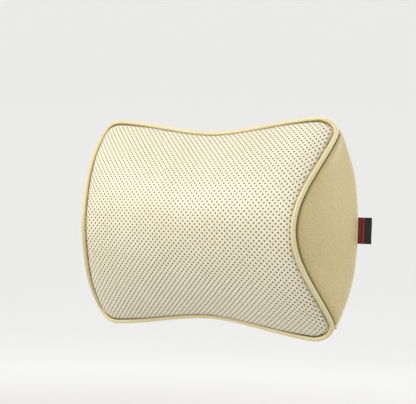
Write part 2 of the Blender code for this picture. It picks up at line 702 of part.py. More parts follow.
def build_straps():
    """Both strap halves and the leather tabs over their sewn ends."""
    turn = WEB_THICKNESS / 2 + CLEARANCE
    y = LOOP_DEPTH
    bar_far = SOCKET_BAR + BAR_WIDTH + turn
    left = anchor_corners(-1) + [
        (SOCKET_BAR - 10 * MM, y + PLY_OFFSET, 8 * MM),
        (SOCKET_BAR - 2 * MM, y + BAR_OFFSET, 4 * MM),
        (bar_far, y + BAR_OFFSET, 1.2 * MM),
        (bar_far, y - BAR_OFFSET, 1.2 * MM),
        (SOCKET_BAR - 2 * MM, y - BAR_OFFSET, 4 * MM),
        (SOCKET_BAR - 10 * MM, y - PLY_OFFSET, 8 * MM),
        (SOCKET_BAR - 26 * MM, y - PLY_OFFSET, 0)]
    ribbon("strap_left", rounded_path(left), WEB_WIDTH, WEB_THICKNESS, 0.0, WEBBING)

    plate_low = y + PLY_OFFSET + WEB_THICKNESS / 2 + CLEARANCE
    plate_high = plate_low + ADJUSTER_THICKNESS
    middle = ADJUSTER_CENTRE
    inner_turn = ADJUSTER_MIDDLE_BAR / 2 + turn
    outer_turn = inner_turn + WEB_THICKNESS + CLEARANCE
    arch = plate_high + turn + WEB_THICKNESS + CLEARANCE
    bar_near = PLUG_BAR - BAR_WIDTH - turn
    right = anchor_corners(1) + [
        (middle + outer_turn + 4 * MM, y + PLY_OFFSET, 1.5 * MM),
        (middle + outer_turn, arch, 1.5 * MM),
        (middle - outer_turn, arch, 1.5 * MM),
        (middle - outer_turn - 4 * MM, y + PLY_OFFSET, 1.5 * MM),
        (PLUG_BAR + 6 * MM, y + PLY_OFFSET, 4 * MM),
        (PLUG_BAR + 2 * MM, y + BAR_OFFSET, 4 * MM),
        (bar_near, y + BAR_OFFSET, 1.2 * MM),
        (bar_near, y - BAR_OFFSET, 1.2 * MM),
        (PLUG_BAR + 2 * MM, y - BAR_OFFSET, 4 * MM),
        (PLUG_BAR + 10 * MM, y - PLY_OFFSET, 8 * MM),
        (middle - inner_turn - 4 * MM, y - PLY_OFFSET, 3 * MM),
        (middle - inner_turn, y + PLY_OFFSET, 3 * MM),
        (middle + inner_turn, y + PLY_OFFSET, 0.9 * MM),
        (middle + inner_turn, plate_high + turn, 0.9 * MM),
        (middle - inner_turn + 0.6 * MM, plate_high + turn, 0)]
    ribbon("strap_right", rounded_path(right), WEB_WIDTH, WEB_THICKNESS, 0.0, WEBBING)

    tab_low = 2 * CLEARANCE + WEB_THICKNESS
    for side, name in ((-1, "strap_tab_left"), (1, "strap_tab_right")):
        x = side * TAB_CENTRE
        box(name, (x - TAB_LENGTH / 2, tab_low, -TAB_HEIGHT / 2),
            (x + TAB_LENGTH / 2, tab_low + TAB_THICKNESS, TAB_HEIGHT / 2), LEATHER, bevel=0.4 * MM)

    rail = WEB_WIDTH / 2 + 2 * CLEARANCE
    half = ADJUSTER_LENGTH / 2
    holes = [rectangle(middle - half + ADJUSTER_BAR, middle - ADJUSTER_MIDDLE_BAR / 2, -rail, rail),
             rectangle(middle + ADJUSTER_MIDDLE_BAR / 2, middle + half - ADJUSTER_BAR, -rail, rail)]
    outline = rectangle(middle - half, middle + half, -rail - ADJUSTER_RAIL, rail + ADJUSTER_RAIL)
    plate("strap_adjuster", [outline] + holes, ADJUSTER_THICKNESS,
          (plate_low + plate_high) / 2, ACETAL)


def tail_frame(name, x_bar, x_body):
    """A buckle's webbing bar with its two rails, reaching into the buckle's body."""
    side = 1 if x_bar > x_body else -1
    rail = WEB_WIDTH / 2 + 2 * CLEARANCE
    half = rail + BAR_RAIL * 0.7
    low, high = sorted((x_body - side * MM, x_bar))
    slot_far = x_bar - side * BAR_WIDTH
    slot_low, slot_high = sorted((slot_far, slot_far - side * BAR_SLOT))
    return plate(name, [rectangle(low, high, -half, half), rectangle(slot_low, slot_high, -rail, rail)],
                 BAR_THICKNESS, LOOP_DEPTH, None, CUTTERS)


def build_socket():
    """The buckle's socket: hollow body, two side windows and a webbing bar."""
    y = LOOP_DEPTH
    half_w, half_t = BUCKLE_WIDTH / 2, BUCKLE_THICKNESS / 2
    wall, skin = half_w - SOCKET_WALL, half_t - SOCKET_SKIN
    socket = box("buckle_socket", (SOCKET_BACK, y - half_t, -half_w), (SOCKET_MOUTH, y + half_t, half_w),
                 ACETAL, bevel=1.2 * MM)
    combine(socket, [tail_frame("socket_tail", SOCKET_BAR, SOCKET_BACK)], "UNION")
    window = SOCKET_MOUTH - WINDOW_NEAR
    combine(socket, [
        tool_box("socket_hollow", (SOCKET_BACK + SOCKET_FLOOR, y - skin, -wall), (SOCKET_MOUTH + MM, y + skin, wall)),
        tool_box("socket_windows", (window - WINDOW_LENGTH, y - skin, -half_w - MM), (window, y + skin, half_w + MM))])


def build_plug():
    """The buckle's plug: base, centre tongue and a webbing bar."""
    y = LOOP_DEPTH
    half_w, half_t = BUCKLE_WIDTH / 2 - 1.0 * MM, BUCKLE_THICKNESS / 2 - PLUG_STEP
    plug = box("buckle_plug", (PLUG_FRONT, y - half_t, -half_w), (PLUG_BACK, y + half_t, half_w),
               ACETAL, bevel=1.0 * MM)
    tongue = tool_box("plug_tongue", (PLUG_FRONT - TONGUE_LENGTH, y - BAR_THICKNESS / 2, -TONGUE_WIDTH / 2),
                      (PLUG_FRONT + 2 * MM, y + BAR_THICKNESS / 2, TONGUE_WIDTH / 2))
    combine(plug, [tail_frame("plug_tail", PLUG_BAR, PLUG_BACK), tongue], "UNION")


def build_latch_arms():
    """The two sprung arms, whose heads fill the socket's windows."""
    window = SOCKET_MOUTH - WINDOW_NEAR
    head_near, head_far = window - ARM_FIT, window - WINDOW_LENGTH + ARM_FIT
    wall = BUCKLE_WIDTH / 2 - SOCKET_WALL
    crest = BUCKLE_WIDTH / 2 - ARM_FIT
    low, high = ARM_ROOT - ARM_BEAM / 2, ARM_ROOT + ARM_BEAM / 2
    root = PLUG_FRONT - CLEARANCE
    third = (head_near - head_far) / 3
    outline = [(root, low), (root, high), (head_near, high + 0.4 * MM), (head_near, wall + 1.5 * MM),
               (head_near - third, crest), (head_far + third, crest), (head_far, wall + 0.6 * MM),
               (head_far, low + 0.6 * MM), (head_near, low)]
    for side, name in ((1, "latch_arm_upper"), (-1, "latch_arm_lower")):
        points = [(x, side * z) for x, z in outline]
        plate(name, [points], ARM_THICKNESS, LOOP_DEPTH, ACETAL)


def build_label():
    """The folded label caught in the right rear seam."""
    seam = rear_point(HALF_LENGTH, LABEL_CENTRE / half_height(HALF_LENGTH))
    lift = PIPING_RADIUS + CLEARANCE + LABEL_PLY / 2
    ply = LABEL_PLY + CLEARANCE
    root = seam.x - SEAM_MARGIN - 6 * MM
    tip = seam.x + LABEL_PROUD
    inner_lift = CLEARANCE + LABEL_PLY / 2
    path = rounded_path([(root, inner_lift, 0), (seam.x - SEAM_MARGIN - 2 * MM, inner_lift, 1.5 * MM),
                         (seam.x - MM, lift, 1.5 * MM), (tip, lift + 2 * MM, 0.39 * MM),
                         (tip - 0.1 * MM, lift + 2 * MM + ply, 0.39 * MM),
                         (seam.x - 1.5 * MM, lift + ply, 1.5 * MM),
                         (seam.x - SEAM_MARGIN - 3 * MM, inner_lift + ply, 1.5 * MM),
                         (root, inner_lift + ply, 0)])
    ribbon("side_label", path, LABEL_HEIGHT, LABEL_PLY, LABEL_CENTRE, LABEL)


def main():
    """Build every piece."""
    build_filling()
    build_front_panel()
    build_end_panels()
    build_rear_panels()
    build_piping()
    build_zip()
    build_straps()
    build_socket()
    build_plug()
    build_latch_arms()
    build_label()


main()
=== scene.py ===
"""Headrest neck pillow: the looks of its leather, piping, zip, strap, buckle and label.

Everything is in metres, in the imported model's own frame: +Z up, the padded front faces -Y.
"""
import logging
import math
from dataclasses import dataclass, field
from enum import Enum
from typing import Any, Callable, Sequence

import bpy
import numpy as np
from mathutils import Matrix, Vector


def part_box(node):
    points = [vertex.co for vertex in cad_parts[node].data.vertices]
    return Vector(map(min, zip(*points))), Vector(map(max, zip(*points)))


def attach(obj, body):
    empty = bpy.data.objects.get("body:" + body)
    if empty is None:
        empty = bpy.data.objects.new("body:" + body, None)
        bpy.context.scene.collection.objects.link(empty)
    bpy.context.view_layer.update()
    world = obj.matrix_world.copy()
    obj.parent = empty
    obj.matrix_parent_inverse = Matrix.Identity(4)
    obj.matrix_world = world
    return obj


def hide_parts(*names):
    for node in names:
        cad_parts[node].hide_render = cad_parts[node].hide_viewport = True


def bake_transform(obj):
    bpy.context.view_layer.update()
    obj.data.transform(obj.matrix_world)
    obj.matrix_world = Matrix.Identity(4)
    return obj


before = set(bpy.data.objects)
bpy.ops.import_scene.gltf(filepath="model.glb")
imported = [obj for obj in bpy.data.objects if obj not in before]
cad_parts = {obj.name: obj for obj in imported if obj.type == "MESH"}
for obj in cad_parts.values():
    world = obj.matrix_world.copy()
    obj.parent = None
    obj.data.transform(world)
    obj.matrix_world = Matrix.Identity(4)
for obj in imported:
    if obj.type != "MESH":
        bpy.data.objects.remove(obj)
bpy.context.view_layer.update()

LOG = logging.getLogger("neck_pillow")
MM = 0.001
Points = np.ndarray
Faces = list[tuple[int, ...]]


# ================================================================ shader nodes and finishes

def linear(colour: str) -> tuple[float, float, float, float]:
    """Turn an sRGB hex colour into linear light.

    Args:
        colour: six hex digits with a leading #.

    Returns:
        Red, green, blue and alpha.
    """
    parts = [int(colour[i:i + 2], 16) / 255 for i in (1, 3, 5)]
    light = [c / 12.92 if c <= 0.04045 else ((c + 0.055) / 1.055) ** 2.4 for c in parts]
    return (light[0], light[1], light[2], 1.0)


def add_node(tree: bpy.types.NodeTree, kind: str, settings: dict[Any, Any] | None = None,
             links: dict[Any, Any] | None = None) -> bpy.types.Node:
    """Add a shader node, set it and link it.

    Args:
        tree: the material's node tree.
        kind: the node's type name, without the leading ShaderNode.
        settings: node attributes and input values by name.
        links: output sockets by the name or number of the input they feed.

    Returns:
        The new node.
    """
    node = tree.nodes.new("ShaderNode" + kind)
    for name, value in (settings or {}).items():
        if isinstance(name, str) and hasattr(node, name):
            setattr(node, name, value)
        else:
            node.inputs[name].default_value = value
    for name, socket in (links or {}).items():
        tree.links.new(socket, node.inputs[name])
    return node


def new_finish(name: str, **values: Any) -> tuple[bpy.types.Material, bpy.types.Node]:
    """Start a material with one Principled shader.

    Args:
        name: the material's name.
        values: values for the shader's own sockets, with _ for each space.

    Returns:
        The material and its shader.
    """
    material = bpy.data.materials.new(name)
    material.use_nodes = True
    shader = material.node_tree.nodes["Principled BSDF"]
    for key, value in values.items():
        shader.inputs[key.replace("_", " ")].default_value = value
    return material, shader


def mix_colours(tree: bpy.types.NodeTree, share: bpy.types.NodeSocket, low: Any,
                high: Any) -> bpy.types.NodeSocket:
    """Blend two colours, each given in hex or as a socket.

    Args:
        tree: the material's node tree.
        share: how much of the second colour shows.
        low: the first colour.
        high: the second colour.

    Returns:
        The socket with the blended colour.
    """
    mix = add_node(tree, "Mix", {"data_type": "RGBA"}, {0: share})
    for number, colour in ((6, low), (7, high)):
        if isinstance(colour, str):
            mix.inputs[number].default_value = linear(colour)
        else:
            tree.links.new(colour, mix.inputs[number])
    return mix.outputs[2]


def surface(shader: bpy.types.Node, colour: bpy.types.NodeSocket, height: bpy.types.NodeSocket,
            depth: float, strength: float, invert: bool = False) -> None:
    """Give a shader its colour and its relief.

    Args:
        shader: the material's Principled shader.
        colour: the socket with its colour.
        height: the socket with its relief.
        depth: how deep the relief is.
        strength: how fully the relief shows.
        invert: whether high values lie deep.
    """
    tree = shader.id_data
    tree.links.new(colour, shader.inputs["Base Color"])
    bump = add_node(tree, "Bump", {"Distance": depth, "Strength": strength, "invert": invert},
                    {"Height": height})
    tree.links.new(bump.outputs["Normal"], shader.inputs["Normal"])


class Coordinates(Enum):
    """What a pattern is laid out on, in metres."""

    PIECE = "Object"
    CLOTH = "UV"


@dataclass(frozen=True)
class Leather:
    """Full-grain hide, drum dyed, sprayed with pigment and embossed with a fine pebble grain.

    The pigment coat gives a soft satin highlight, and the grain breaks it up.
    """

    name: str
    colour: str
    deep_colour: str
    # painted shade: the darker colour blended in beside the seams, where the crease by the piping lies in
    # shade
    crease_shade_colour: str
    roughness: float = 0.50
    grain: float = 1.7 * MM      # real pebbles are near 1 mm, drawn coarser so that they show
    grain_height: float = 0.26 * MM
    lacquer: float = 0.6         # how much of the clear top coat shows
    drift: float = 55 * MM       # how far the tone takes to wander
    wander: float = 0.6          # how far pebbles stray from even rows, in pebbles

    def material(self) -> bpy.types.Material:
        """Build the material.

        Returns:
            Leather with pebble grain, slow colour drift, painted shade in the grain's pits and painted crease
            shade beside the seams.
        """
        made, shader = new_finish(self.name, Roughness=self.roughness, Coat_Weight=self.lacquer,
                                  Coat_Roughness=0.38)
        tree = made.node_tree
        place = add_node(tree, "TexCoord").outputs["Object"]
        drift = add_node(tree, "TexNoise", {"Scale": 1 / self.drift, "Detail": 3.0}, {"Vector": place})
        tone = add_node(tree, "ValToRGB", None, {"Fac": drift.outputs["Fac"]})
        stops = ((0.30, self.deep_colour), (0.70, self.colour))
        for stop, (position, colour) in zip(tone.color_ramp.elements, stops):
            stop.position = position
            stop.color = linear(colour)
        # Painted shade: the mesh's seam share blends in the crease shade colour beside the piping.
        seam = add_node(tree, "Attribute", {"attribute_name": "seam"})
        shade = mix_colours(tree, seam.outputs["Fac"], tone.outputs["Color"], self.crease_shade_colour)
        stray = add_node(tree, "TexNoise", {"Scale": 1 / (3 * self.grain), "Detail": 2.0}, {"Vector": place})
        push = add_node(tree, "VectorMath", {"operation": "SCALE", "Scale": self.wander * self.grain},
                        {0: stray.outputs["Color"]})
        moved = add_node(tree, "VectorMath", {"operation": "ADD"}, {0: place, 1: push.outputs[0]})
        pebble = add_node(tree, "TexVoronoi",
                          {"feature": "SMOOTH_F1", "Scale": 1 / self.grain, "Smoothness": 0.4},
                          {"Vector": moved.outputs[0]}).outputs["Distance"]
        # Painted shade and highlight in the grain: each pebble's top is coloured a little lighter and its
        # pits darker, following the bump.
        pit_shade = add_node(tree, "MapRange", {"From Min": 0.15, "From Max": 0.75, "To Min": 1.03, "To Max": 0.88},
                       {"Value": pebble})
        # The grain's painted shade multiplies the tone and the painted crease shade.
        grain_and_crease_shade = add_node(tree, "Mix", {"data_type": "RGBA", "blend_type": "MULTIPLY", "Factor": 1.0},
                        {6: shade, 7: pit_shade.outputs[0]})
        surface(shader, grain_and_crease_shade.outputs[2], pebble, self.grain_height, 0.8, invert=True)
        return made


@dataclass(frozen=True)
class Woven:
    """Polyester or elastic yarn woven flat, so that picks and ends show as rows of small humps.

    Yarn is rough and has no clear highlight, but its fibres give a faint sheen at a low angle.
    """

    name: str
    colour: str
    lit_hump_colour: str
    pick: float                 # spacing of the yarns along the band
    end: float                  # spacing of the yarns across the band
    laid_on: Coordinates = Coordinates.CLOTH
    roughness: float = 0.85
    height: float = 0.15 * MM
    bars: tuple[float, ...] = ()
    bar_width: float = 1.6 * MM
    bar_colour: str = "#a81c22"

    def material(self) -> bpy.types.Material:
        """Build the material.

        Returns:
            A plain weave, with woven bars across it if bars are given.
        """
        made, shader = new_finish(self.name, Roughness=self.roughness, Sheen_Weight=0.12,
                                  Sheen_Roughness=0.4)
        tree = made.node_tree
        place = add_node(tree, "TexCoord").outputs[self.laid_on.value]
        axes = add_node(tree, "SeparateXYZ", None, {0: place})
        across = "Y" if self.laid_on is Coordinates.CLOTH else "Z"
        waves = []
        for axis, spacing in (("X", self.pick), (across, self.end)):
            turn = add_node(tree, "Math", {"operation": "MULTIPLY", 1: 2 * math.pi / spacing},
                            {0: axes.outputs[axis]})
            waves.append(add_node(tree, "Math", {"operation": "SINE"}, {0: turn.outputs[0]}).outputs[0])
        weave = add_node(tree, "Math", {"operation": "MULTIPLY"}, {0: waves[0], 1: waves[1]})
        fuzz = add_node(tree, "TexNoise", {"Scale": 1 / (0.5 * MM), "Detail": 3.0}, {"Vector": place})
        height = add_node(tree, "Math", {"operation": "ADD"}, {0: weave.outputs[0], 1: fuzz.outputs["Fac"]})
        # Painted shade and highlight in the weave: dips between the yarns are coloured darker and the humps
        # paler; the fibre fuzz adds random tone.
        tone = add_node(tree, "MapRange", {"From Min": -0.8, "From Max": 1.8}, {"Value": height.outputs[0]})
        colour = mix_colours(tree, tone.outputs[0], self.colour, self.lit_hump_colour)
        for middle in self.bars:
            near = add_node(tree, "Math", {"operation": "COMPARE", 1: middle, 2: self.bar_width / 2},
                            {0: axes.outputs["X"]})
            colour = mix_colours(tree, near.outputs[0], colour, self.bar_colour)
        surface(shader, colour, height.outputs[0], self.height, 0.9)
        return made


@dataclass(frozen=True)
class Solid:
    """A solid that is one stuff all through: moulded, cast, foamed or spun.

    Its speckle stands for the texture that the mould, the plating or the pores leave.
    """

    name: str
    colour: str
    speckle_colour: str
    roughness: float
    speckle: float              # size of the speckle
    height: float               # how deep the speckle is
    metallic: float = 0.0
    stretch: tuple[float, float, float] = (1.0, 1.0, 1.0)
    specular: float = 0.5

    def material(self) -> bpy.types.Material:
        """Build the material.

        Returns:
            One colour broken by fine noise, which also roughens and bumps the surface.
        """
        made, shader = new_finish(self.name, Metallic=self.metallic, Specular_IOR_Level=self.specular)
        tree = made.node_tree
        place = add_node(tree, "TexCoord").outputs["Object"]
        drawn = add_node(tree, "Mapping", {"Scale": self.stretch}, {"Vector": place})
        noise = add_node(tree, "TexNoise", {"Scale": 1 / self.speckle, "Detail": 4.0},
                         {"Vector": drawn.outputs[0]}).outputs["Fac"]
        rough = add_node(tree, "MapRange", {"To Min": self.roughness * 0.85, "To Max": self.roughness * 1.15},
                         {"Value": noise})
        tree.links.new(rough.outputs[0], shader.inputs["Roughness"])
        surface(shader, mix_colours(tree, noise, self.speckle_colour, self.colour), noise, self.height, 0.6)
        return made


@dataclass(frozen=True)
class Sweep:
    """Background paper: uncoated and matt, so it shows light and shade but no highlight."""

    name: str
    colour: str
    centre_colour: str
    centre_radius: float = 0.9
    far_radius: float = 2.2

    def material(self) -> bpy.types.Material:
        """Build the material.

        Returns:
            Paper that pales with distance from the middle, with a faint tooth.
        """
        made, shader = new_finish(self.name, Roughness=0.92, Specular_IOR_Level=0.2)
        tree = made.node_tree
        place = add_node(tree, "TexCoord").outputs["Object"]
        flat = add_node(tree, "VectorMath", {"operation": "MULTIPLY", 1: (1.0, 1.0, 0.0)}, {0: place})
        away = add_node(tree, "VectorMath", {"operation": "LENGTH"}, {0: flat.outputs[0]})
        share = add_node(tree, "MapRange", {"interpolation_type": "SMOOTHSTEP",
                                            "From Min": self.centre_radius, "From Max": self.far_radius},
                         {"Value": away.outputs["Value"]})
        tooth = add_node(tree, "TexNoise", {"Scale": 1 / (3 * MM), "Detail": 2.0}, {"Vector": place})
        colour = mix_colours(tree, share.outputs[0], self.centre_colour, self.colour)
        surface(shader, colour, tooth.outputs["Fac"], 0.05 * MM, 0.4)
        return made


class Finishes:
    """Every finish on the pillow, each made once."""

    def __init__(self) -> None:
        """Build the materials."""
        # Aniline-dyed hide with a pigment coat: satin, the holes punched through it; its bright, pale colour
        # is the hide's cream made paler and whiter as painted sheen.
        self.front = Leather("perforated_cowhide_painted_sheen", "#e7dfc7", "#e1d8be", "#6f6238", roughness=0.52).material()
        # The same hide, plain: coloured warmer and a little deeper as painted shade, so that the ends read
        # darker, as if turned from the light.
        self.hide = Leather("cream_cowhide_painted_shade", "#c8b781", "#c2b079", "#7a6b3d", roughness=0.50).material()
        # Split hide wrapped round cord: stretched smooth, so it takes a cleaner highlight.
        self.piping = Leather("piping_hide", "#e0d3a4", "#dacc99", "#c3b584", roughness=0.42,
                              grain=1.0 * MM, grain_height=0.04 * MM).material()
        # Raw flesh side seen inside each hole: fibrous, and coloured near black as painted shadow, so that
        # each shallow blind hole reads as a deep shaded opening.
        self.hole = Solid("hole_flesh_side_painted_shadow", "#1f160c", "#120b05", 0.95, 0.4 * MM, 0.05 * MM,
                          specular=0.05).material()
        # Bonded polyester thread: twisted, slightly glossy.
        self.thread = Solid("bonded_polyester_thread", "#d8cb9f", "#b9ab7b", 0.55, 0.3 * MM,
                            0.05 * MM).material()
        # Knitted-in elastic webbing: black, matt, ribbed along its length.
        self.webbing = Woven("elastic_webbing", "#0a0a0b", "#1e1e20", 1.4 * MM, 2.1 * MM).material()
        # Woven polyester zip tape dyed to match the hide.
        self.tape = Woven("polyester_zip_tape", "#b9ab7d", "#d3c69a", 0.9 * MM, 0.9 * MM,
                          Coordinates.PIECE, height=0.08 * MM).material()
        # Damask ribbon: dense black satin with two plain bars woven in.
        self.ribbon = Woven("damask_ribbon", "#0d0d0e", "#242426", 0.7 * MM, 0.7 * MM,
                            bars=(12.6 * MM, 15.8 * MM), height=0.05 * MM, roughness=0.6).material()
        # Drawn nylon filament: translucent by nature, dyed cream, fairly glossy.
        self.nylon = Solid("nylon_filament", "#d9cda6", "#c7b98d", 0.38, 0.5 * MM, 0.01 * MM).material()
        # Zinc die casting with bright nickel plate: neutral grey mirror with fine polishing marks.
        self.zinc = Solid("nickel_plated_zinc", "#cfcdc8", "#b4b1aa", 0.26, 1.2 * MM, 0.01 * MM, 1.0,
                          (1.0, 4.0, 4.0)).material()
        # Acetal moulded in a spark-eroded tool: black with a fine even satin.
        self.acetal = Solid("moulded_acetal", "#131415", "#0c0d0e", 0.42, 0.35 * MM, 0.03 * MM).material()
        # Open-cell polyurethane foam: pale yellow, full of pores.
        self.foam = Solid("memory_foam", "#efe6c4", "#d6c994", 0.95, 1.1 * MM, 0.35 * MM).material()
        # Warp-knitted polyester liner: soft white.
        self.knit = Woven("knitted_polyester", "#cfcfcb", "#e9e9e5", 1.6 * MM, 1.6 * MM,
                          Coordinates.PIECE, height=0.15 * MM).material()
        # Matt paper: a greyer sheet under the pillow leaves its underside in soft shade.
        self.floor = Sweep("matt_paper_sweep", "#f6f6f5", "#cccbc8").material()


# ================================================================ mesh building

def make_piece(name: str, points: Points, faces: Faces, finishes: Sequence[bpy.types.Material],
               indices: Sequence[int] | None = None, seam: Points | None = None,
               cloth: Points | None = None, sharp: float = 35.0) -> bpy.types.Object:
    """Make a mesh object that rides on nothing yet.

    Args:
        name: the piece's name.
        points: its vertices, one row each.
        faces: vertex numbers of each face, anticlockwise from outside.
        finishes: its materials.
        indices: the material number of each face.
        seam: how strongly painted crease shade darkens each vertex, 0 to 1, fullest at a seam.
        cloth: flat position of each vertex in metres, for a woven pattern.
        sharp: faces that meet at more than this many degrees keep a hard edge.

    Returns:
        The new object, linked to the scene.
    """
    mesh = bpy.data.meshes.new(name)
    mesh.from_pydata([tuple(p) for p in points], [], faces)
    for finish in finishes:
        mesh.materials.append(finish)
    if indices is not None:
        mesh.polygons.foreach_set("material_index", np.asarray(indices, np.int32))
    if seam is not None:
        mesh.attributes.new("seam", "FLOAT", "POINT").data.foreach_set("value", seam.astype(np.float32))
    if cloth is not None:
        corners = np.zeros(len(mesh.loops), np.int32)
        mesh.loops.foreach_get("vertex_index", corners)
        mesh.uv_layers.new(name="cloth").data.foreach_set("uv", cloth[corners].astype(np.float32).ravel())
    mesh.validate()
    mesh.shade_smooth()
    mesh.set_sharp_from_angle(angle=math.radians(sharp))
    piece = bpy.data.objects.new(name, mesh)
    bpy.context.scene.collection.objects.link(piece)
    return piece


def settle(piece: bpy.types.Object, body: str, node: str = "") -> None:
    """Put a finished piece on its body and, if it stands for a CAD node, in that node's place.

    Args:
        piece: the finished piece.
        body: the body it rides on.
        node: the CAD node it stands for.
    """
    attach(piece, body)
    if node:
        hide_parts(node)
    LOG.info("%s: %d faces", piece.name, len(piece.data.polygons))


def grid_faces(rows: int, columns: int, start: int = 0, closed_rows: bool = False,
               closed_columns: bool = False) -> Faces:
    """Quads over a grid of points numbered row by row.

    Args:
        rows: number of rows.
        columns: number of points in a row.
        start: the first point's number.
        closed_rows: whether the last row joins the first.
        closed_columns: whether each row closes on itself.

    Returns:
        The quads.
    """
    faces = []
    for i in range(rows if closed_rows else rows - 1):
        for j in range(columns if closed_columns else columns - 1):
            a, b = i * columns + j, i * columns + (j + 1) % columns
            below = ((i + 1) % rows) * columns
            c, d = below + (j + 1) % columns, below + j
            faces.append((start + a, start + b, start + c, start + d))
    return faces


def shell(outer: Points, inner: Points, flip: bool = False) -> tuple[Points, Faces]:
    """Close two equal grids of points, one over the other, into a thin shell.

    Args:
        outer: rows by columns by 3, the side that shows.
        inner: the same for the hidden side.
        flip: turn the faces round.

    Returns:
        Points and faces.
    """
    rows, columns = outer.shape[:2]
    count = rows * columns
    faces = grid_faces(rows, columns)
    faces += [f[::-1] for f in grid_faces(rows, columns, start=count)]
    rim = [i for i in range(columns)] + [i * columns + columns - 1 for i in range(1, rows)]
    rim += [count - 1 - i for i in range(1, columns)] + [i * columns for i in range(rows - 2, 0, -1)]
    for a, b in zip(rim, rim[1:] + rim[:1]):
        faces.append((b, a, a + count, b + count))
    if flip:
        faces = [f[::-1] for f in faces]
    return np.concatenate([outer.reshape(-1, 3), inner.reshape(-1, 3)]), faces


def ring_faces(rows: int, columns: int) -> Faces:
    """Quads over a stack of closed rings, with a flat face at both ends.

    Args:
        rows: number of rings.
        columns: number of points in a ring.

    Returns:
        The faces.
    """
    last = (rows - 1) * columns
    return grid_faces(rows, columns, closed_columns=True) + [tuple(range(columns))[::-1],
                                                              tuple(range(last, last + columns))]


def plate(x: Points, z: Points, middle: tuple[float, float],
          levels: Sequence[tuple[float, float]]) -> tuple[Points, Faces]:
    """A cast plate: one outline repeated at several levels, scaled at each.

    Args:
        x: the outline's places along X, from its middle.
        z: the same along Z.
        middle: the plate's middle, x and z.
        levels: y and scale of each level.

    Returns:
        Points and faces.
    """
    rows = [np.stack([middle[0] + x * scale, np.full(len(x), y), middle[1] + z * scale], 1)
            for y, scale in levels]
    return np.concatenate(rows), ring_faces(len(rows), len(x))


def squared(wave: Points, power: float) -> Points:
    """Flatten a sine wave towards a square one, for an outline with tight corners."""
    return np.sign(wave) * np.abs(wave) ** power


def run_along(path: Points) -> Points:
    """How far along a path each of its points is."""
    return np.concatenate([[0], np.cumsum(np.linalg.norm(np.diff(path, axis=0), axis=1))])


def band(path: Points, half: Points, width: float) -> tuple[Points, Points, Faces]:
    """A flat band on edge along a path in the XY plane.

    Args:
        path: points along the band's middle.
        half: half the band's thickness, at even places from its lower edge to its upper one.
        width: the band's width.

    Returns:
        Points by place along the path and round the band, their flat layout, and faces.
    """
    ahead = np.gradient(path, axis=0)
    ahead /= np.linalg.norm(ahead, axis=1)[:, None]
    z = np.linspace(-1, 1, len(half))
    loop_z = np.concatenate([z, z[::-1]]) * width / 2
    loop_n = np.concatenate([half, -half[::-1]])
    shape = (len(path), len(loop_z))
    points = np.stack([path[:, None, 0] - ahead[:, None, 1] * loop_n,
                       path[:, None, 1] + ahead[:, None, 0] * loop_n, np.broadcast_to(loop_z, shape)], -1)
    flat = np.stack([np.broadcast_to(run_along(path)[:, None], shape), np.broadcast_to(loop_z, shape)], -1)
    return points, flat.reshape(-1, 2), ring_faces(*shape)


def block(low: Sequence[float], high: Sequence[float], edge: float) -> tuple[Points, Faces]:
    """A small cast block whose long edges are chamfered.

    Args:
        low: its lowest corner.
        high: its highest corner.
        edge: width of the chamfers.

    Returns:
        Points and faces.
    """
    x0, y0, z0 = low
    x1, y1, z1 = high
    outline = [(y0 + edge, z0), (y1 - edge, z0), (y1, z0 + edge), (y1, z1 - edge),
               (y1 - edge, z1), (y0 + edge, z1), (y0, z1 - edge), (y0, z0 + edge)]
    middle_y, middle_z = (y0 + y1) / 2, (z0 + z1) / 2
    rows = []
    for x, shrink in ((x0, edge), (x0 + edge, 0.0), (x1 - edge, 0.0), (x1, edge)):
        scale_y, scale_z = 1 - 2 * shrink / (y1 - y0), 1 - 2 * shrink / (z1 - z0)
        rows += [(x, middle_y + (y - middle_y) * scale_y, middle_z + (z - middle_z) * scale_z)
                 for y, z in outline]
    return np.array(rows), ring_faces(4, len(outline))


def sweep(path: Points, radius: float | Points, sides: int, closed: bool = False) -> tuple[Points, Faces]:
    """A round tube along a path, with flat ends unless it closes.

    Args:
        path: points along the middle.
        radius: one radius, or one for each point.
        sides: number of sides.
        closed: whether the path closes on itself.

    Returns:
        Points and faces.
    """
    path = np.asarray(path, float)
    ahead = np.roll(path, -1, 0) - np.roll(path, 1, 0) if closed else np.gradient(path, axis=0)
    ahead /= np.linalg.norm(ahead, axis=1)[:, None]
    side = np.cross(ahead[0], (0.13, 0.41, 0.90))
    side /= np.linalg.norm(side)
    sides_at = [side]
    for way in ahead[1:]:
        side = side - way * (side @ way)
        side /= np.linalg.norm(side)
        sides_at.append(side)
    across = np.array(sides_at)
    if closed:
        left = across[0] - ahead[-1] * (across[0] @ ahead[-1])
        twist = math.atan2(np.cross(across[-1], left) @ ahead[-1], across[-1] @ left)
        turn = (np.arange(len(path)) / (len(path) - 1) * twist)[:, None]
        across = across * np.cos(turn) + np.cross(ahead, across) * np.sin(turn)
    up = np.cross(ahead, across)
    angle = 2 * math.pi * np.arange(sides) / sides
    reach = np.broadcast_to(radius, len(path))[:, None, None]
    ring = across[:, None] * np.cos(angle)[None, :, None] + up[:, None] * np.sin(angle)[None, :, None]
    points = (path[:, None] + ring * reach).reshape(-1, 3)
    faces = [f[::-1] for f in grid_faces(len(path), sides, closed_rows=closed, closed_columns=True)]
    if not closed:
        last = (len(path) - 1) * sides
        faces += [tuple(range(sides))[::-1], tuple(range(last, last + sides))]
    return points, faces


def merge(shapes: Sequence[tuple[Points, Faces]]) -> tuple[Points, Faces]:
    """Put several shapes into one list of points and faces.

    Args:
        shapes: points and faces of each.

    Returns:
        Points and faces of all.
    """
    points, faces, count = [], [], 0
    for shape_points, shape_faces in shapes:
        points.append(shape_points)
        faces += [tuple(v + count for v in f) for f in shape_faces]
        count += len(shape_points)
    return np.concatenate(points), faces


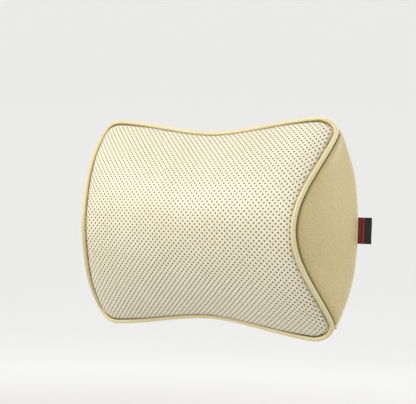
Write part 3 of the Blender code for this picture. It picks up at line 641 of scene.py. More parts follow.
def closer_at_ends(count: int, power: float) -> Points:
    """Places from -1 to 1 that crowd together towards both ends."""
    even = np.linspace(-1, 1, count)
    return np.sign(even) * (1 - (1 - np.abs(even)) ** power)


def smooth(value: Points, low: float, high: float) -> Points:
    """Ease from 0 at low to 1 at high."""
    share = np.clip((value - low) / (high - low), 0, 1)
    return share * share * (3 - 2 * share)


def rounded_path(corners: Sequence[tuple[float, float, float]], step: float = 8.0) -> Points:
    """A path in the XY plane whose corners are turned into arcs.

    Args:
        corners: x, y and radius of each corner; the ends have no radius.
        step: degrees between points on an arc.

    Returns:
        Points, two numbers each.
    """
    points = [Vector(c[:2]) for c in corners]
    path = [tuple(points[0])]
    for i in range(1, len(points) - 1):
        radius = corners[i][2]
        before = (points[i - 1] - points[i]).normalized()
        after = (points[i + 1] - points[i]).normalized()
        half = before.angle(after) / 2
        centre = points[i] + (before + after).normalized() * (radius / math.sin(half))
        start = points[i] + before * (radius / math.tan(half)) - centre
        stop = points[i] + after * (radius / math.tan(half)) - centre
        turn = -start.angle_signed(stop)
        count = max(2, math.ceil(abs(turn) / math.radians(step)))
        for k in range(count + 1):
            angle = turn * k / count
            path.append((centre.x + start.x * math.cos(angle) - start.y * math.sin(angle),
                         centre.y + start.x * math.sin(angle) + start.y * math.cos(angle)))
    path.append(tuple(points[-1]))
    return np.array(path)


def resample(path: Points, step: float) -> Points:
    """Points at even steps along a path.

    Args:
        path: the path's points.
        step: the distance between new points.

    Returns:
        The new points, ends included.
    """
    run = run_along(path)
    at = np.linspace(0, run[-1], max(2, int(round(run[-1] / step)) + 1))
    return np.stack([np.interp(at, run, path[:, k]) for k in range(path.shape[1])], 1)


def stitches(path: Points, lift: Points, pitch: float = 3.2 * MM, length: float = 2.5 * MM,
             thread: float = 0.28 * MM) -> tuple[Points, Faces]:
    """A line of lockstitches: short bows of thread that dive into the material at both ends.

    Args:
        path: points along the line, on the surface.
        lift: unit vector out of the surface.
        pitch: from one stitch to the next.
        length: of each stitch.
        thread: the thread's radius.

    Returns:
        Points and faces.
    """
    path = resample(np.asarray(path, float), pitch / 8)
    shapes = []
    for start in range(0, len(path) - 8, 8):
        a, b = path[start], path[start + int(round(8 * length / pitch))]
        share = np.linspace(0, 1, 5)[:, None]
        bow = a + (b - a) * share + np.asarray(lift) * (np.sin(math.pi * share) * 2 - 1) * thread
        shapes.append(sweep(bow, thread, 6))
    return merge(shapes)


# ================================================================ the cushion's form

@dataclass(frozen=True)
class CushionForm:
    """The outside of the stuffed cushion, as formulas of x, share of the half height, and step."""

    half_length: float = 135 * MM
    end_height: float = 208 * MM
    waist_height: float = 180 * MM
    rise_middle: float = 62 * MM
    rise_end: float = 54 * MM
    rear_rise: float = 28 * MM
    rear_flat: float = 0.40
    flat_half: float = 40 * MM
    rear_fall: float = 0.25 * MM
    front_power: float = 1.9
    front_power_end: float = 1.8
    edge_power: float = 0.8
    edge_power_end: float = 1.12
    taper_power: float = 3.0
    waist_power: float = 0.86
    tuck: float = 16 * MM
    bow: float = 7 * MM
    tuck_power: float = 1.1
    crown: float = 10.5 * MM
    corner_run: float = 24 * MM
    corner_drop: float = 11.5 * MM
    corner_power: float = 2.5
    inset_height: float = 1.6       # a layer's half height shrinks by this many times its inset
    inset_length: float = 1.3       # and its half length by this many times
    last_x: float = 134.5 * MM      # normals are taken no further out along X than this
    step_x: float = 0.3 * MM        # they come from differences of this much along X
    step_share: float = 1e-3        # and of this share of the half height

    def reach(self, x: Points) -> Points:
        """Share of the half length at x."""
        return np.clip(np.abs(x) / self.half_length, 0, 1)

    def half_height(self, x: Points) -> Points:
        """Half the cushion's height, which grows from the waist and falls off at the corners.

        Args:
            x: place along the cushion.

        Returns:
            Half the height there.
        """
        growth = ((1 - np.cos(math.pi * self.reach(x))) / 2) ** self.waist_power
        height = (self.waist_height + (self.end_height - self.waist_height) * growth) / 2
        run = np.clip((np.abs(x) - self.half_length + self.corner_run) / self.corner_run, 0, 1)
        return height - self.corner_drop * run ** self.corner_power

    def pull(self, share: Points) -> Points:
        """How strongly the end seams are drawn in: 1 at mid-height to 0 at the tips."""
        return 1 - ((1 - np.cos(math.pi * share)) / 2) ** self.tuck_power

    def shifted(self, x: Points, share: Points, amount: float) -> Points:
        """Place along X once the end seams are drawn in or bowed out by amount."""
        return x * (1 + amount / self.half_length * self.pull(share) * self.reach(x))

    def front(self, x: Points, share: Points, inset: float = 0.0) -> Points:
        """Points of the front face.

        Args:
            x: place along the cushion before the seams draw it in.
            share: -1 at the lower edge to 1 at the upper edge.
            inset: how far under the cover's surface.

        Returns:
            The points.
        """
        x, share = np.broadcast_arrays(np.asarray(x, float), np.asarray(share, float))
        rise = self.rise_middle + (self.rise_end - self.rise_middle) * self.reach(x) ** 2
        taper = self.reach(x) ** self.taper_power
        power = self.front_power + (self.front_power_end - self.front_power) * taper
        edge_power = self.edge_power + (self.edge_power_end - self.edge_power) * taper
        bulge = np.clip(1 - np.abs(share) ** power, 0, 1) ** edge_power
        height = self.half_height(x) - self.inset_height * inset
        scale = (self.half_length - self.inset_length * inset) / self.half_length
        return np.stack([self.shifted(x, share, -self.tuck) * scale,
                         -self.rear_rise - (rise - inset) * bulge, height * share], -1)

    def rear(self, x: Points, share: Points, inset: float = 0.0, depth: float = 0.0) -> Points:
        """Points of the rear face.

        Args:
            x: place along the cushion before the seams bow out.
            share: -1 at the lower edge to 1 at the upper edge.
            inset: how far under the cover's surface at the edges.
            depth: how far under it on the flat middle.

        Returns:
            The points.
        """
        x, share = np.broadcast_arrays(np.asarray(x, float), np.asarray(share, float))
        slope = np.clip((np.abs(share) - self.rear_flat) / (1 - self.rear_flat), 0, 1)
        run = np.clip((np.abs(x) - self.flat_half) / (self.half_length - self.flat_half), 0, None)
        flat = depth + self.rear_fall * run
        height = self.half_height(x) - self.inset_height * inset
        scale = (self.half_length - self.inset_length * inset) / self.half_length
        return np.stack([self.shifted(x, share, self.bow) * scale,
                         -flat - (self.rear_rise - flat) * slope ** 2, height * share], -1)

    def end(self, side: int, share: Points, step: Points, inset: float = 0.0, depth: float = 0.0) -> Points:
        """Points of an end face, from the front seam to the rear seam.

        Args:
            side: -1 for the left end, 1 for the right.
            share: -1 at the lower tip to 1 at the upper tip.
            step: 0 at the front seam to 1 at the rear seam.
            inset: how far under the cover's surface.
            depth: how far under it at the rear.

        Returns:
            The points.
        """
        share, step = np.broadcast_arrays(np.asarray(share, float), np.asarray(step, float))
        x = np.full(share.shape, side * self.half_length)
        front, rear = self.front(x, share, inset), self.rear(x, share, inset, depth)
        points = front + (rear - front) * step[..., None]
        crown = np.sqrt(np.clip(1 - (2 * step - 1) ** 2, 0, 1)) * np.sqrt(np.clip(1 - share ** 2, 0, 1))
        points[..., 0] += side * self.crown * crown
        return points

    def normal(self, face: Callable[[Points, Points], Points], a: Points, b: Points,
               outward: tuple[float, float, float], span_a: float, span_b: float) -> Points:
        """Unit normals of a face by small differences.

        Args:
            face: the face's point function.
            a: first parameter.
            b: second parameter.
            outward: a vector that points out of the cushion.
            span_a: half the difference taken in a.
            span_b: half the difference taken in b.

        Returns:
            The normals.
        """
        along = face(a + span_a, b) - face(a - span_a, b)
        up = face(a, b + span_b) - face(a, b - span_b)
        normal = np.cross(along, up)
        size = np.linalg.norm(normal, axis=-1, keepdims=True)
        normal = normal / np.maximum(size, 1e-12)
        return normal * np.sign(normal @ np.array(outward))[..., None]

    def face_normal(self, face: Callable[[Points, Points], Points], x: Points, share: Points,
                    last_share: float, way: int) -> Points:
        """Unit normals of the front or the rear, read just inside its edges.

        Args:
            face: the face's point function.
            x: place along the cushion.
            share: share of the half height.
            last_share: normals are taken no nearer the edges than this.
            way: -1 for the front, 1 for the rear.

        Returns:
            The normals.
        """
        x, share = np.clip(x, -self.last_x, self.last_x), np.clip(share, -last_share, last_share)
        return self.normal(face, x, share, (0.0, float(way), 0.0), self.step_x, self.step_share)


@dataclass
class SeamRoll:
    """How a panel's edge rolls down into its seam beside the piping, with small puckers, and how far the
    painted crease shade beside it reaches.
    """

    groove: float = 1.8 * MM       # the panel's drop where it meets the piping
    reach: float = 9.0 * MM        # how far from the seam the roll begins
    under: float = 0.8             # drop for each metre past the seam, under the piping
    pucker: float = 0.28 * MM      # how high the puckers stand
    dark: float = 2.0 * MM         # how far from the seam the painted crease shade is full
    shade: float = 3.6 * MM        # how far from the seam it reaches

    def drop(self, gap: Points, along: Points) -> Points:
        """How far the panel lies under the form.

        Args:
            gap: distance from the seam's middle.
            along: distance along the seam.

        Returns:
            The drop.
        """
        near = 1 - smooth(gap, 0.0, self.reach)
        waves = ((3.1 * MM, 0.0), (4.7 * MM, 1.3), (8.3 * MM, 0.6))
        wave = sum(np.sin(along / length + phase) for length, phase in waves)
        puckers = self.pucker * wave / 3 * near * smooth(gap, 0.0, 4 * MM)
        return self.groove * near ** 2 + self.under * np.clip(-gap, 0, None) + puckers

    def crease_shade(self, gap: Points) -> Points:
        """How strongly the painted crease shade shows at a distance from the seam."""
        return 1 - smooth(gap, self.dark, self.shade)


@dataclass
class Relief:
    """How a stuffed panel swells between its seams, from a cloth simulation of the panel."""

    pressure: float = 3.0
    cap: float = 1.6 * MM
    last_frame: int = 14
    stretch: float = 40.0           # the cloth's stiffness in its plane
    bend: float = 2.0               # and out of it

    def inflate(self, points: Points, normals: Points) -> Points:
        """Inflate a sheet whose edge is sewn down, and read how far it has swelled.

        Args:
            points: rows by columns by 3, the panel before it is stuffed.
            normals: its unit normals.

        Returns:
            Rows by columns, the swelling along the normals, at most cap.
        """
        rows, columns = points.shape[:2]
        mesh = bpy.data.meshes.new("sheet")
        mesh.from_pydata([tuple(p) for p in points.reshape(-1, 3)], [], grid_faces(rows, columns))
        sheet = bpy.data.objects.new("sheet", mesh)
        bpy.context.scene.collection.objects.link(sheet)
        edge = [i for i in range(rows * columns)
                if i // columns in (0, rows - 1) or i % columns in (0, columns - 1)]
        sheet.vertex_groups.new(name="sewn").add(edge, 1.0, "ADD")
        facing = mesh.polygons[len(mesh.polygons) // 2].normal @ Vector(normals[rows // 2, columns // 2])
        cloth = sheet.modifiers.new("cloth", "CLOTH")
        cloth.settings.use_pressure = True
        cloth.settings.uniform_pressure_force = self.pressure * (1 if facing > 0 else -1)
        cloth.settings.vertex_group_mass = "sewn"
        cloth.settings.effector_weights.gravity = 0.0
        cloth.settings.tension_stiffness = self.stretch
        cloth.settings.compression_stiffness = self.stretch
        cloth.settings.bending_stiffness = self.bend
        cloth.collision_settings.use_collision = False
        scene = bpy.context.scene
        for number in range(1, self.last_frame + 1):
            scene.frame_set(number)
        settled = sheet.evaluated_get(bpy.context.evaluated_depsgraph_get()).data
        moved = np.zeros(rows * columns * 3)
        settled.vertices.foreach_get("co", moved)
        scene.frame_set(1)
        bpy.data.objects.remove(sheet)
        swell = ((moved.reshape(rows, columns, 3) - points) * normals).sum(-1)
        return self.cap * np.tanh(swell / self.cap)


def lookup(table: Points, row: Points, column: Points) -> Points:
    """Read a table between its entries.

    Args:
        table: rows by columns.
        row: where to read, 0 at the first row to 1 at the last.
        column: the same across.

    Returns:
        The values, blended from the four entries around each place.
    """
    rows, columns = table.shape
    r = np.clip(row, 0, 1) * (rows - 1)
    c = np.clip(column, 0, 1) * (columns - 1)
    r0 = np.minimum(r.astype(int), rows - 2)
    c0 = np.minimum(c.astype(int), columns - 2)
    fr, fc = r - r0, c - c0
    return ((1 - fr) * ((1 - fc) * table[r0, c0] + fc * table[r0, c0 + 1])
            + fr * ((1 - fc) * table[r0 + 1, c0] + fc * table[r0 + 1, c0 + 1]))


@dataclass
class Cover:
    """The sewn leather cover: perforated front, two ends, two rear panels and the piping."""

    finishes: Finishes
    form: CushionForm = field(default_factory=CushionForm)
    roll: SeamRoll = field(default_factory=SeamRoll)
    relief: Relief = field(default_factory=Relief)
    thickness: float = 1.4 * MM
    piping_radius: float = 2.35 * MM
    piping_corner: float = 8 * MM
    hole_pitch: float = 5.38 * MM      # between holes in one row; rows are half of it apart
    hole_radius: float = 0.80 * MM
    hole_depth: float = 1.0 * MM
    hole_margin: float = 3.3 * MM      # nearest a hole's middle comes to the seam's middle
    zip_height: float = -25 * MM
    zip_window: float = 4.5 * MM
    fold: float = 1.0 * MM             # radius of the turned edge beside the zip
    seam_offset: float = 0.2 * MM      # a plain panel's edge lies this far from the piping's middle
    seam_half: float = 100 * MM        # half an end seam, for the spacing of its puckers
    stuffed: float = 0.95              # how much of a skin's hollow the foam fills
    edge_share: float = 0.985          # grids on the front and the ends stop at this share of the way out
    rear_swell: float = 0.35           # the rear swells by this share of what a free panel would
    cell_overlap: float = 1.2 * MM     # cells of the front hide reach this far past the seam's middle
    cord_step: float = 1.6 * MM

    def build(self) -> None:
        """Make every panel and every length of piping."""
        self.build_front()
        for side, name in ((-1, "end_panel_left"), (1, "end_panel_right")):
            self.build_end(side, name)
        for upper, name in ((True, "rear_panel_upper"), (False, "rear_panel_lower")):
            self.build_rear(upper, name)
        self.build_piping()

    def front_tables(self) -> None:
        """Work out how far each place on the front is, over the surface, from mid-height."""
        columns, rows = 60, 300
        self.table_x = np.linspace(0, self.form.half_length, columns)
        shares = np.sin(np.linspace(0, math.pi / 2, rows))
        points = self.form.front(self.table_x[:, None], shares[None, :])
        steps = np.linalg.norm(np.diff(points[..., 1:], axis=1), axis=-1)
        run = np.concatenate([np.zeros((columns, 1)), np.cumsum(steps, 1)], 1)
        self.girth = run[:, -1]
        self.table_run = np.linspace(0, self.girth.max(), rows)
        self.table_share = np.stack([np.interp(self.table_run, r, shares) for r in run])

    def front_spot(self, across: Points, up: Points) -> tuple[Points, Points, Points]:
        """Find the form's own parameters for a place on the front hide.

        Args:
            across: place along X on the hide.
            up: distance over the surface from mid-height.

        Returns:
            Place along the cushion before the seams draw it in, share of the half height, and how
            strongly the seams pull there; the first two without their signs.
        """
        form = self.form
        x, tiny = np.abs(across), 1e-9
        for _ in range(5):
            share = lookup(self.table_share, x / form.half_length, np.abs(up) / self.table_run[-1])
            bend = form.tuck / form.half_length ** 2 * form.pull(share)
            root = np.sqrt(np.clip(1 - 4 * bend * np.abs(across), 0, 1))
            x = np.where(bend > tiny, (1 - root) / np.maximum(2 * bend, tiny), np.abs(across))
            x = np.clip(x, 0, form.half_length)
        return x, share, form.pull(share)

    def front_place(self, across: Points, up: Points) -> tuple[Points, Points, Points]:
        """Lay the front hide on the cushion.

        Args:
            across: place along X on the hide.
            up: distance over the surface from mid-height.

        Returns:
            Points on the cushion, each one's distance from the nearest seam, below 0 past it, and
            the form's normals there.
        """
        form = self.form
        x, share, pull = self.front_spot(across, up)
        end_gap = form.half_length - form.tuck * pull - np.abs(across)
        edge_gap = np.interp(x, self.table_x, self.girth) - np.abs(up)
        soft = 3 * MM
        blend = np.clip(0.5 + 0.5 * (edge_gap - end_gap) / soft, 0, 1)
        rounded = end_gap * blend + edge_gap * (1 - blend) - soft * blend * (1 - blend)
        gap = np.minimum(end_gap, edge_gap)
        gap = np.where(gap > -soft, rounded, gap)
        x = np.copysign(x, across)
        share = np.copysign(np.minimum(share, 1 - 1e-4), up)
        normal = form.face_normal(form.front, x, share, 0.9985, -1)
        along = np.where(end_gap < edge_gap, up, across)
        swell = lookup(self.front_swell, share * 0.5 + 0.5, x / form.half_length * 0.5 + 0.5)
        return form.front(x, share) + normal * (swell - self.roll.drop(gap, along))[..., None], gap, normal

    def inflate_front(self) -> None:
        """Find how far the front swells between its seams."""
        form = self.form
        shares = np.linspace(-self.edge_share, self.edge_share, 41)[:, None]
        columns = np.linspace(-form.half_length * self.edge_share, form.half_length * self.edge_share, 49)
        x, share = np.broadcast_arrays(columns[None, :], shares)
        normals = form.face_normal(form.front, x, share, 1.0, -1)
        self.front_swell = self.relief.inflate(form.front(x, share), normals)

    def front_cells(self) -> tuple[Points, Points, list[list[int]], Points]:
        """Divide the front hide into square cells on their corners, one round each hole's place.

        Returns:
            The middles of the cells inside the seam, in half pitches; their distances from it;
            each cell's four corner numbers; and the corners, in half pitches.
        """
        pitch = self.hole_pitch / 2
        wide = int(self.form.half_length / pitch) + 2
        tall = int(self.girth.max() / pitch) + 2
        i, j = np.meshgrid(np.arange(-wide, wide + 1), np.arange(-tall, tall + 1), indexing="ij")
        middles = np.stack([i, j], -1)[(i + j) % 2 == 0]
        _, gap, _ = self.front_place(middles[:, 0] * pitch, middles[:, 1] * pitch)
        kept = gap > -self.cell_overlap
        middles = middles[kept]
        numbers: dict[tuple[int, int], int] = {}
        cells = [[numbers.setdefault(place, len(numbers))
                  for place in ((a + 1, b), (a, b + 1), (a - 1, b), (a, b - 1))] for a, b in middles.tolist()]
        return middles, gap[kept], cells, np.array(list(numbers), float)

    def build_front(self) -> None:
        """The perforated front: a hide punched on a diagonal grid, laid on the cushion."""
        self.front_tables()
        self.inflate_front()
        middles, gap, cells, corners = self.front_cells()
        pitch = self.hole_pitch / 2
        outer, corner_gap, normal = self.front_place(corners[:, 0] * pitch, corners[:, 1] * pitch)
        inner = outer - normal * self.thickness
        punched = np.flatnonzero(gap > self.hole_margin)
        sides = 8
        angle = np.arange(sides) * 2 * math.pi / sides
        ring = self.hole_radius * np.stack([np.cos(angle), np.sin(angle)], -1)
        ring = (middles[punched, None] * pitch + ring[None]).reshape(-1, 2)
        rims, rim_gap, normal = self.front_place(ring[:, 0], ring[:, 1])
        floors = rims - normal * self.hole_depth

        count = len(corners)
        first_rim = {n: 2 * count + sides * k for k, n in enumerate(punched.tolist())}
        faces: Faces = []
        finish: list[int] = []
        border: dict[tuple[int, int], bool] = {}
        for n, cell in enumerate(cells):
            for a, b in zip(cell, cell[1:] + cell[:1]):
                if not border.pop((b, a), False):
                    border[(a, b)] = True
            whole, hole = [tuple(v + count for v in reversed(cell))], []
            if n in first_rim:
                rim = [first_rim[n] + k for k in range(sides)]
                floor = [v + len(rims) for v in rim]
                for q in range(4):
                    a, b = cell[q], cell[(q + 1) % 4]
                    low, middle, high = rim[2 * q], rim[2 * q + 1], rim[(2 * q + 2) % sides]
                    whole += [(a, b, middle), (a, middle, low), (b, high, middle)]
                for k in range(sides):
                    following = (k + 1) % sides
                    hole.append((rim[k], rim[following], floor[following], floor[k]))
                hole.append(tuple(floor))
            else:
                whole.append(tuple(cell))
            faces += whole + hole
            # Hole walls and floors take the hole finish: painted shadow inside each hole.
            finish += [0] * len(whole) + [1] * len(hole)
        faces += [(b, a, a + count, b + count) for a, b in border]
        finish += [0] * len(border)
        # Painted shade: the crease shade colour darkens the hide beside its seams.
        crease_shade = self.roll.crease_shade(np.concatenate([corner_gap, corner_gap, rim_gap, rim_gap]))
        panel = make_piece("front_skin", np.concatenate([outer, inner, rims, floors]), faces,
                           [self.finishes.front, self.finishes.hole], finish, crease_shade, sharp=50)
        settle(panel, "cushion", "front_panel")

    def finish_panel(self, node: str, outer: Points, normals: Points, gap: Points, flip: bool) -> None:
        """Give a plain panel its thickness, its painted crease shade and its place.

        Args:
            node: the CAD node it stands for.
            outer: rows by columns by 3, its outside.
            normals: the outside's unit normals.
            gap: each point's distance from the nearest seam.
            flip: turn the faces round.
        """
        points, faces = shell(outer, outer - normals * self.thickness, flip)
        # Painted shade: the crease shade colour darkens the panel beside its seams.
        crease_shade = self.roll.crease_shade(np.concatenate([gap.ravel(), gap.ravel()]))
        # The plain panels wear the shaded copy of the hide: painted shade.
        panel = make_piece(node.replace("panel", "skin"), points, faces, [self.finishes.hide], seam=crease_shade)
        settle(panel, "cushion", node)

    def build_end(self, side: int, name: str) -> None:
        """A plain crowned end, rolled down into both its seams.

        Args:
            side: -1 for the left end, 1 for the right.
            name: the CAD node it stands for.
        """
        form = self.form
        rows, columns = 120, 41
        shares = self.edge_share * np.sin(np.linspace(-1, 1, rows) * math.pi / 2)[:, None]

        def face(share: Points, step: Points) -> Points:
            """The end's surface."""
            return form.end(side, np.clip(share, -1, 1), step)

        width = np.linalg.norm(form.end(side, shares, 1.0) - form.end(side, shares, 0.0), axis=-1)
        steps = 0.5 + 0.5 * closer_at_ends(columns, 1.35)
        share, step = np.broadcast_arrays(shares, steps[None, :])
        normals = form.normal(face, np.clip(share, -0.995, 0.995), np.clip(step, 0.02, 0.98),
                              (side, 0.0, 0.0), 1e-3, 1e-2)
        base = face(share, step)
        swell = self.relief.inflate(base[::3, ::2], normals[::3, ::2])
        swell = lookup(swell, np.linspace(0, 1, rows)[:, None] + 0 * step, step)
        gap = np.minimum(step, 1 - step) * width + self.seam_offset
        tip = (1 - np.abs(share)) * form.half_height(np.array(form.half_length))
        swell = swell * smooth(gap, 0, 8 * MM) * smooth(tip, 0, 25 * MM)
        groove = self.roll.drop(gap, share * self.seam_half)
        self.finish_panel(name, base + normals * (swell - groove)[..., None], normals, gap, side < 0)

    def build_rear(self, upper: bool, name: str) -> None:
        """A rear panel, with its edge turned under beside the zip.

        Args:
            upper: whether it lies above the zip.
            name: the CAD node it stands for.
        """
        form = self.form
        way = 1 if upper else -1
        rows, columns = 49, 121
        x = form.half_length * closer_at_ends(columns, 1.25)
        start = (self.zip_height + way * self.zip_window) / form.half_height(x)
        level = np.linspace(0, 1, rows)[:, None]
        share = start[None, :] + (way - start[None, :]) * (1 - (1 - level) ** 1.3)
        xs = np.broadcast_to(x[None, :], share.shape)
        base = form.rear(xs, share)
        normals = form.face_normal(form.rear, xs, share, 0.998, 1)
        end_gap = form.half_length - np.abs(xs)
        edge_run = np.linalg.norm(np.diff(base, axis=0), axis=-1)
        from_edge = np.concatenate([np.cumsum(edge_run[::-1], 0)[::-1], np.zeros((1, columns))])
        from_zip = np.concatenate([np.zeros((1, columns)), np.cumsum(edge_run, 0)])
        gap = np.minimum(end_gap, from_edge) + self.seam_offset
        swell = self.relief.inflate(base[::2, ::2], normals[::2, ::2]) * self.rear_swell
        swell = lookup(swell, level + 0 * xs, np.linspace(0, 1, columns)[None, :] + 0 * xs)
        flat = smooth(np.abs(share), form.rear_flat, form.rear_flat + 0.25)
        drop = self.roll.drop(gap, np.where(end_gap < from_edge, share * self.seam_half, xs))
        inside_fold = 1 - np.clip(from_zip / self.fold, 0, 1)
        turned = self.fold * (1 - np.sqrt(np.clip(1 - inside_fold ** 2, 0, 1)))
        outer = base + normals * (swell * flat - drop - turned * 0.6)[..., None]
        self.finish_panel(name, outer, normals, gap, upper)

    def build_piping(self) -> None:
        """Leather-wrapped cord round the front, and down each rear end seam."""
        form, corner = self.form, self.piping_corner
        half = form.half_length
        share = np.sin(np.linspace(-1, 1, 161) * math.pi / 2)
        x = half * closer_at_ends(181, 1.3)
        sides = [form.front(x, np.ones_like(x)), form.front(np.full_like(share, half), -share),
                 form.front(-x, -np.ones_like(x)), form.front(np.full_like(share, -half), share)]
        bend = np.linspace(0, 1, 14)[1:-1, None]
        loop: list[Points] = []
        for side, following in zip(sides, sides[1:] + sides[:1]):
            tip = side[-1]
            near = np.linalg.norm(side - tip, axis=1) > corner
            loop.append(side[(np.linalg.norm(side - side[0], axis=1) > corner) & near])
            before = side[near][-1] - tip
            after = following[np.linalg.norm(following - tip, axis=1) > corner][0] - tip
            before = before / np.linalg.norm(before) * corner
            after = after / np.linalg.norm(after) * corner
            loop.append(tip + before * (1 - bend) ** 2 + after * bend ** 2)
        path = resample(np.concatenate(loop + [loop[0][:1]]), self.cord_step)[:-1]
        self.finish_piping("front_piping", path, True)
        for end, node in ((-1, "rear_piping_left"), (1, "rear_piping_right")):
            seam = form.rear(np.full_like(share, end * half), share)
            self.finish_piping(node, resample(seam, self.cord_step)[1:-1], False)

    def finish_piping(self, node: str, path: Points, closed: bool) -> None:
        """One length of piping, faintly uneven where the leather is pulled round the cord.

        Args:
            node: the CAD node it stands for.
            path: points along the cord.
            closed: whether it closes on itself.
        """
        turn = 2 * math.pi * np.arange(len(path)) / len(path)
        radius = self.piping_radius * (1 + 0.018 * np.sin(41 * turn) + 0.012 * np.sin(67 * turn + 1))
        points, faces = sweep(path, radius, 16, closed)
        cord = make_piece(node + "_cord", points, faces, [self.finishes.piping], seam=np.zeros(len(points)))
        settle(cord, "cushion", node)


@dataclass
class Filling:
    """What the cover holds: the moulded foam and its knitted liner."""

    finishes: Finishes
    form: CushionForm = field(default_factory=CushionForm)
    liner_inset: float = 1.9 * MM
    liner_depth: float = 4.4 * MM
    liner_thickness: float = 0.8 * MM
    foam_inset: float = 3.2 * MM
    foam_depth: float = 5.7 * MM
    slit_half: float = 110 * MM
    slit_width: float = 6 * MM

    def skin(self, inset: float, depth: float, finish: bpy.types.Material, name: str,
             slit: bool = False) -> bpy.types.Object:
        """One closed layer under the cover.

        Args:
            inset: how far under the cover.
            depth: how far under the rear.
            finish: its material.
            name: the piece's name.
            slit: whether the rear is slit for turning out.

        Returns:
            The piece.
        """
        form = self.form
        levels = np.sin(np.linspace(-1, 1, 61) * math.pi / 2)[:, None]
        x = np.linspace(-form.half_length, form.half_length, 91)[None, :]
        steps = np.linspace(0, 1, 19)[None, :]
        shapes = []
        for grid, flip in ((form.front(x, levels, inset), False), (form.rear(x, levels, inset, depth), True),
                           (form.end(-1, levels, steps, inset, depth), True),
                           (form.end(1, levels, steps, inset, depth), False)):
            quads = [f[::-1] if flip else f for f in grid_faces(*grid.shape[:2])]
            if slit and len(shapes) == 1:
                middle = [grid.reshape(-1, 3)[list(f)].mean(0) for f in quads]
                quads = [f for f, m in zip(quads, middle)
                         if not (abs(m[0]) < self.slit_half and 0 < m[2] < self.slit_width)]
            shapes.append((grid.reshape(-1, 3), quads))
        piece = make_piece(name, *merge(shapes), [finish])
        piece.modifiers.new("weld", "WELD").merge_threshold = 0.01 * MM
        return piece

    def build(self) -> None:
        """Make the foam and the liner, and put them in their nodes' places."""
        foam = self.skin(self.foam_inset, self.foam_depth, self.finishes.foam, "foam_filling")
        settle(foam, "cushion", "foam_core")
        liner = self.skin(self.liner_inset, self.liner_depth, self.finishes.knit, "liner_knit", slit=True)
        liner.modifiers.new("thickness", "SOLIDIFY").thickness = self.liner_thickness
        settle(liner, "cushion", "inner_liner")


# ================================================================ zip

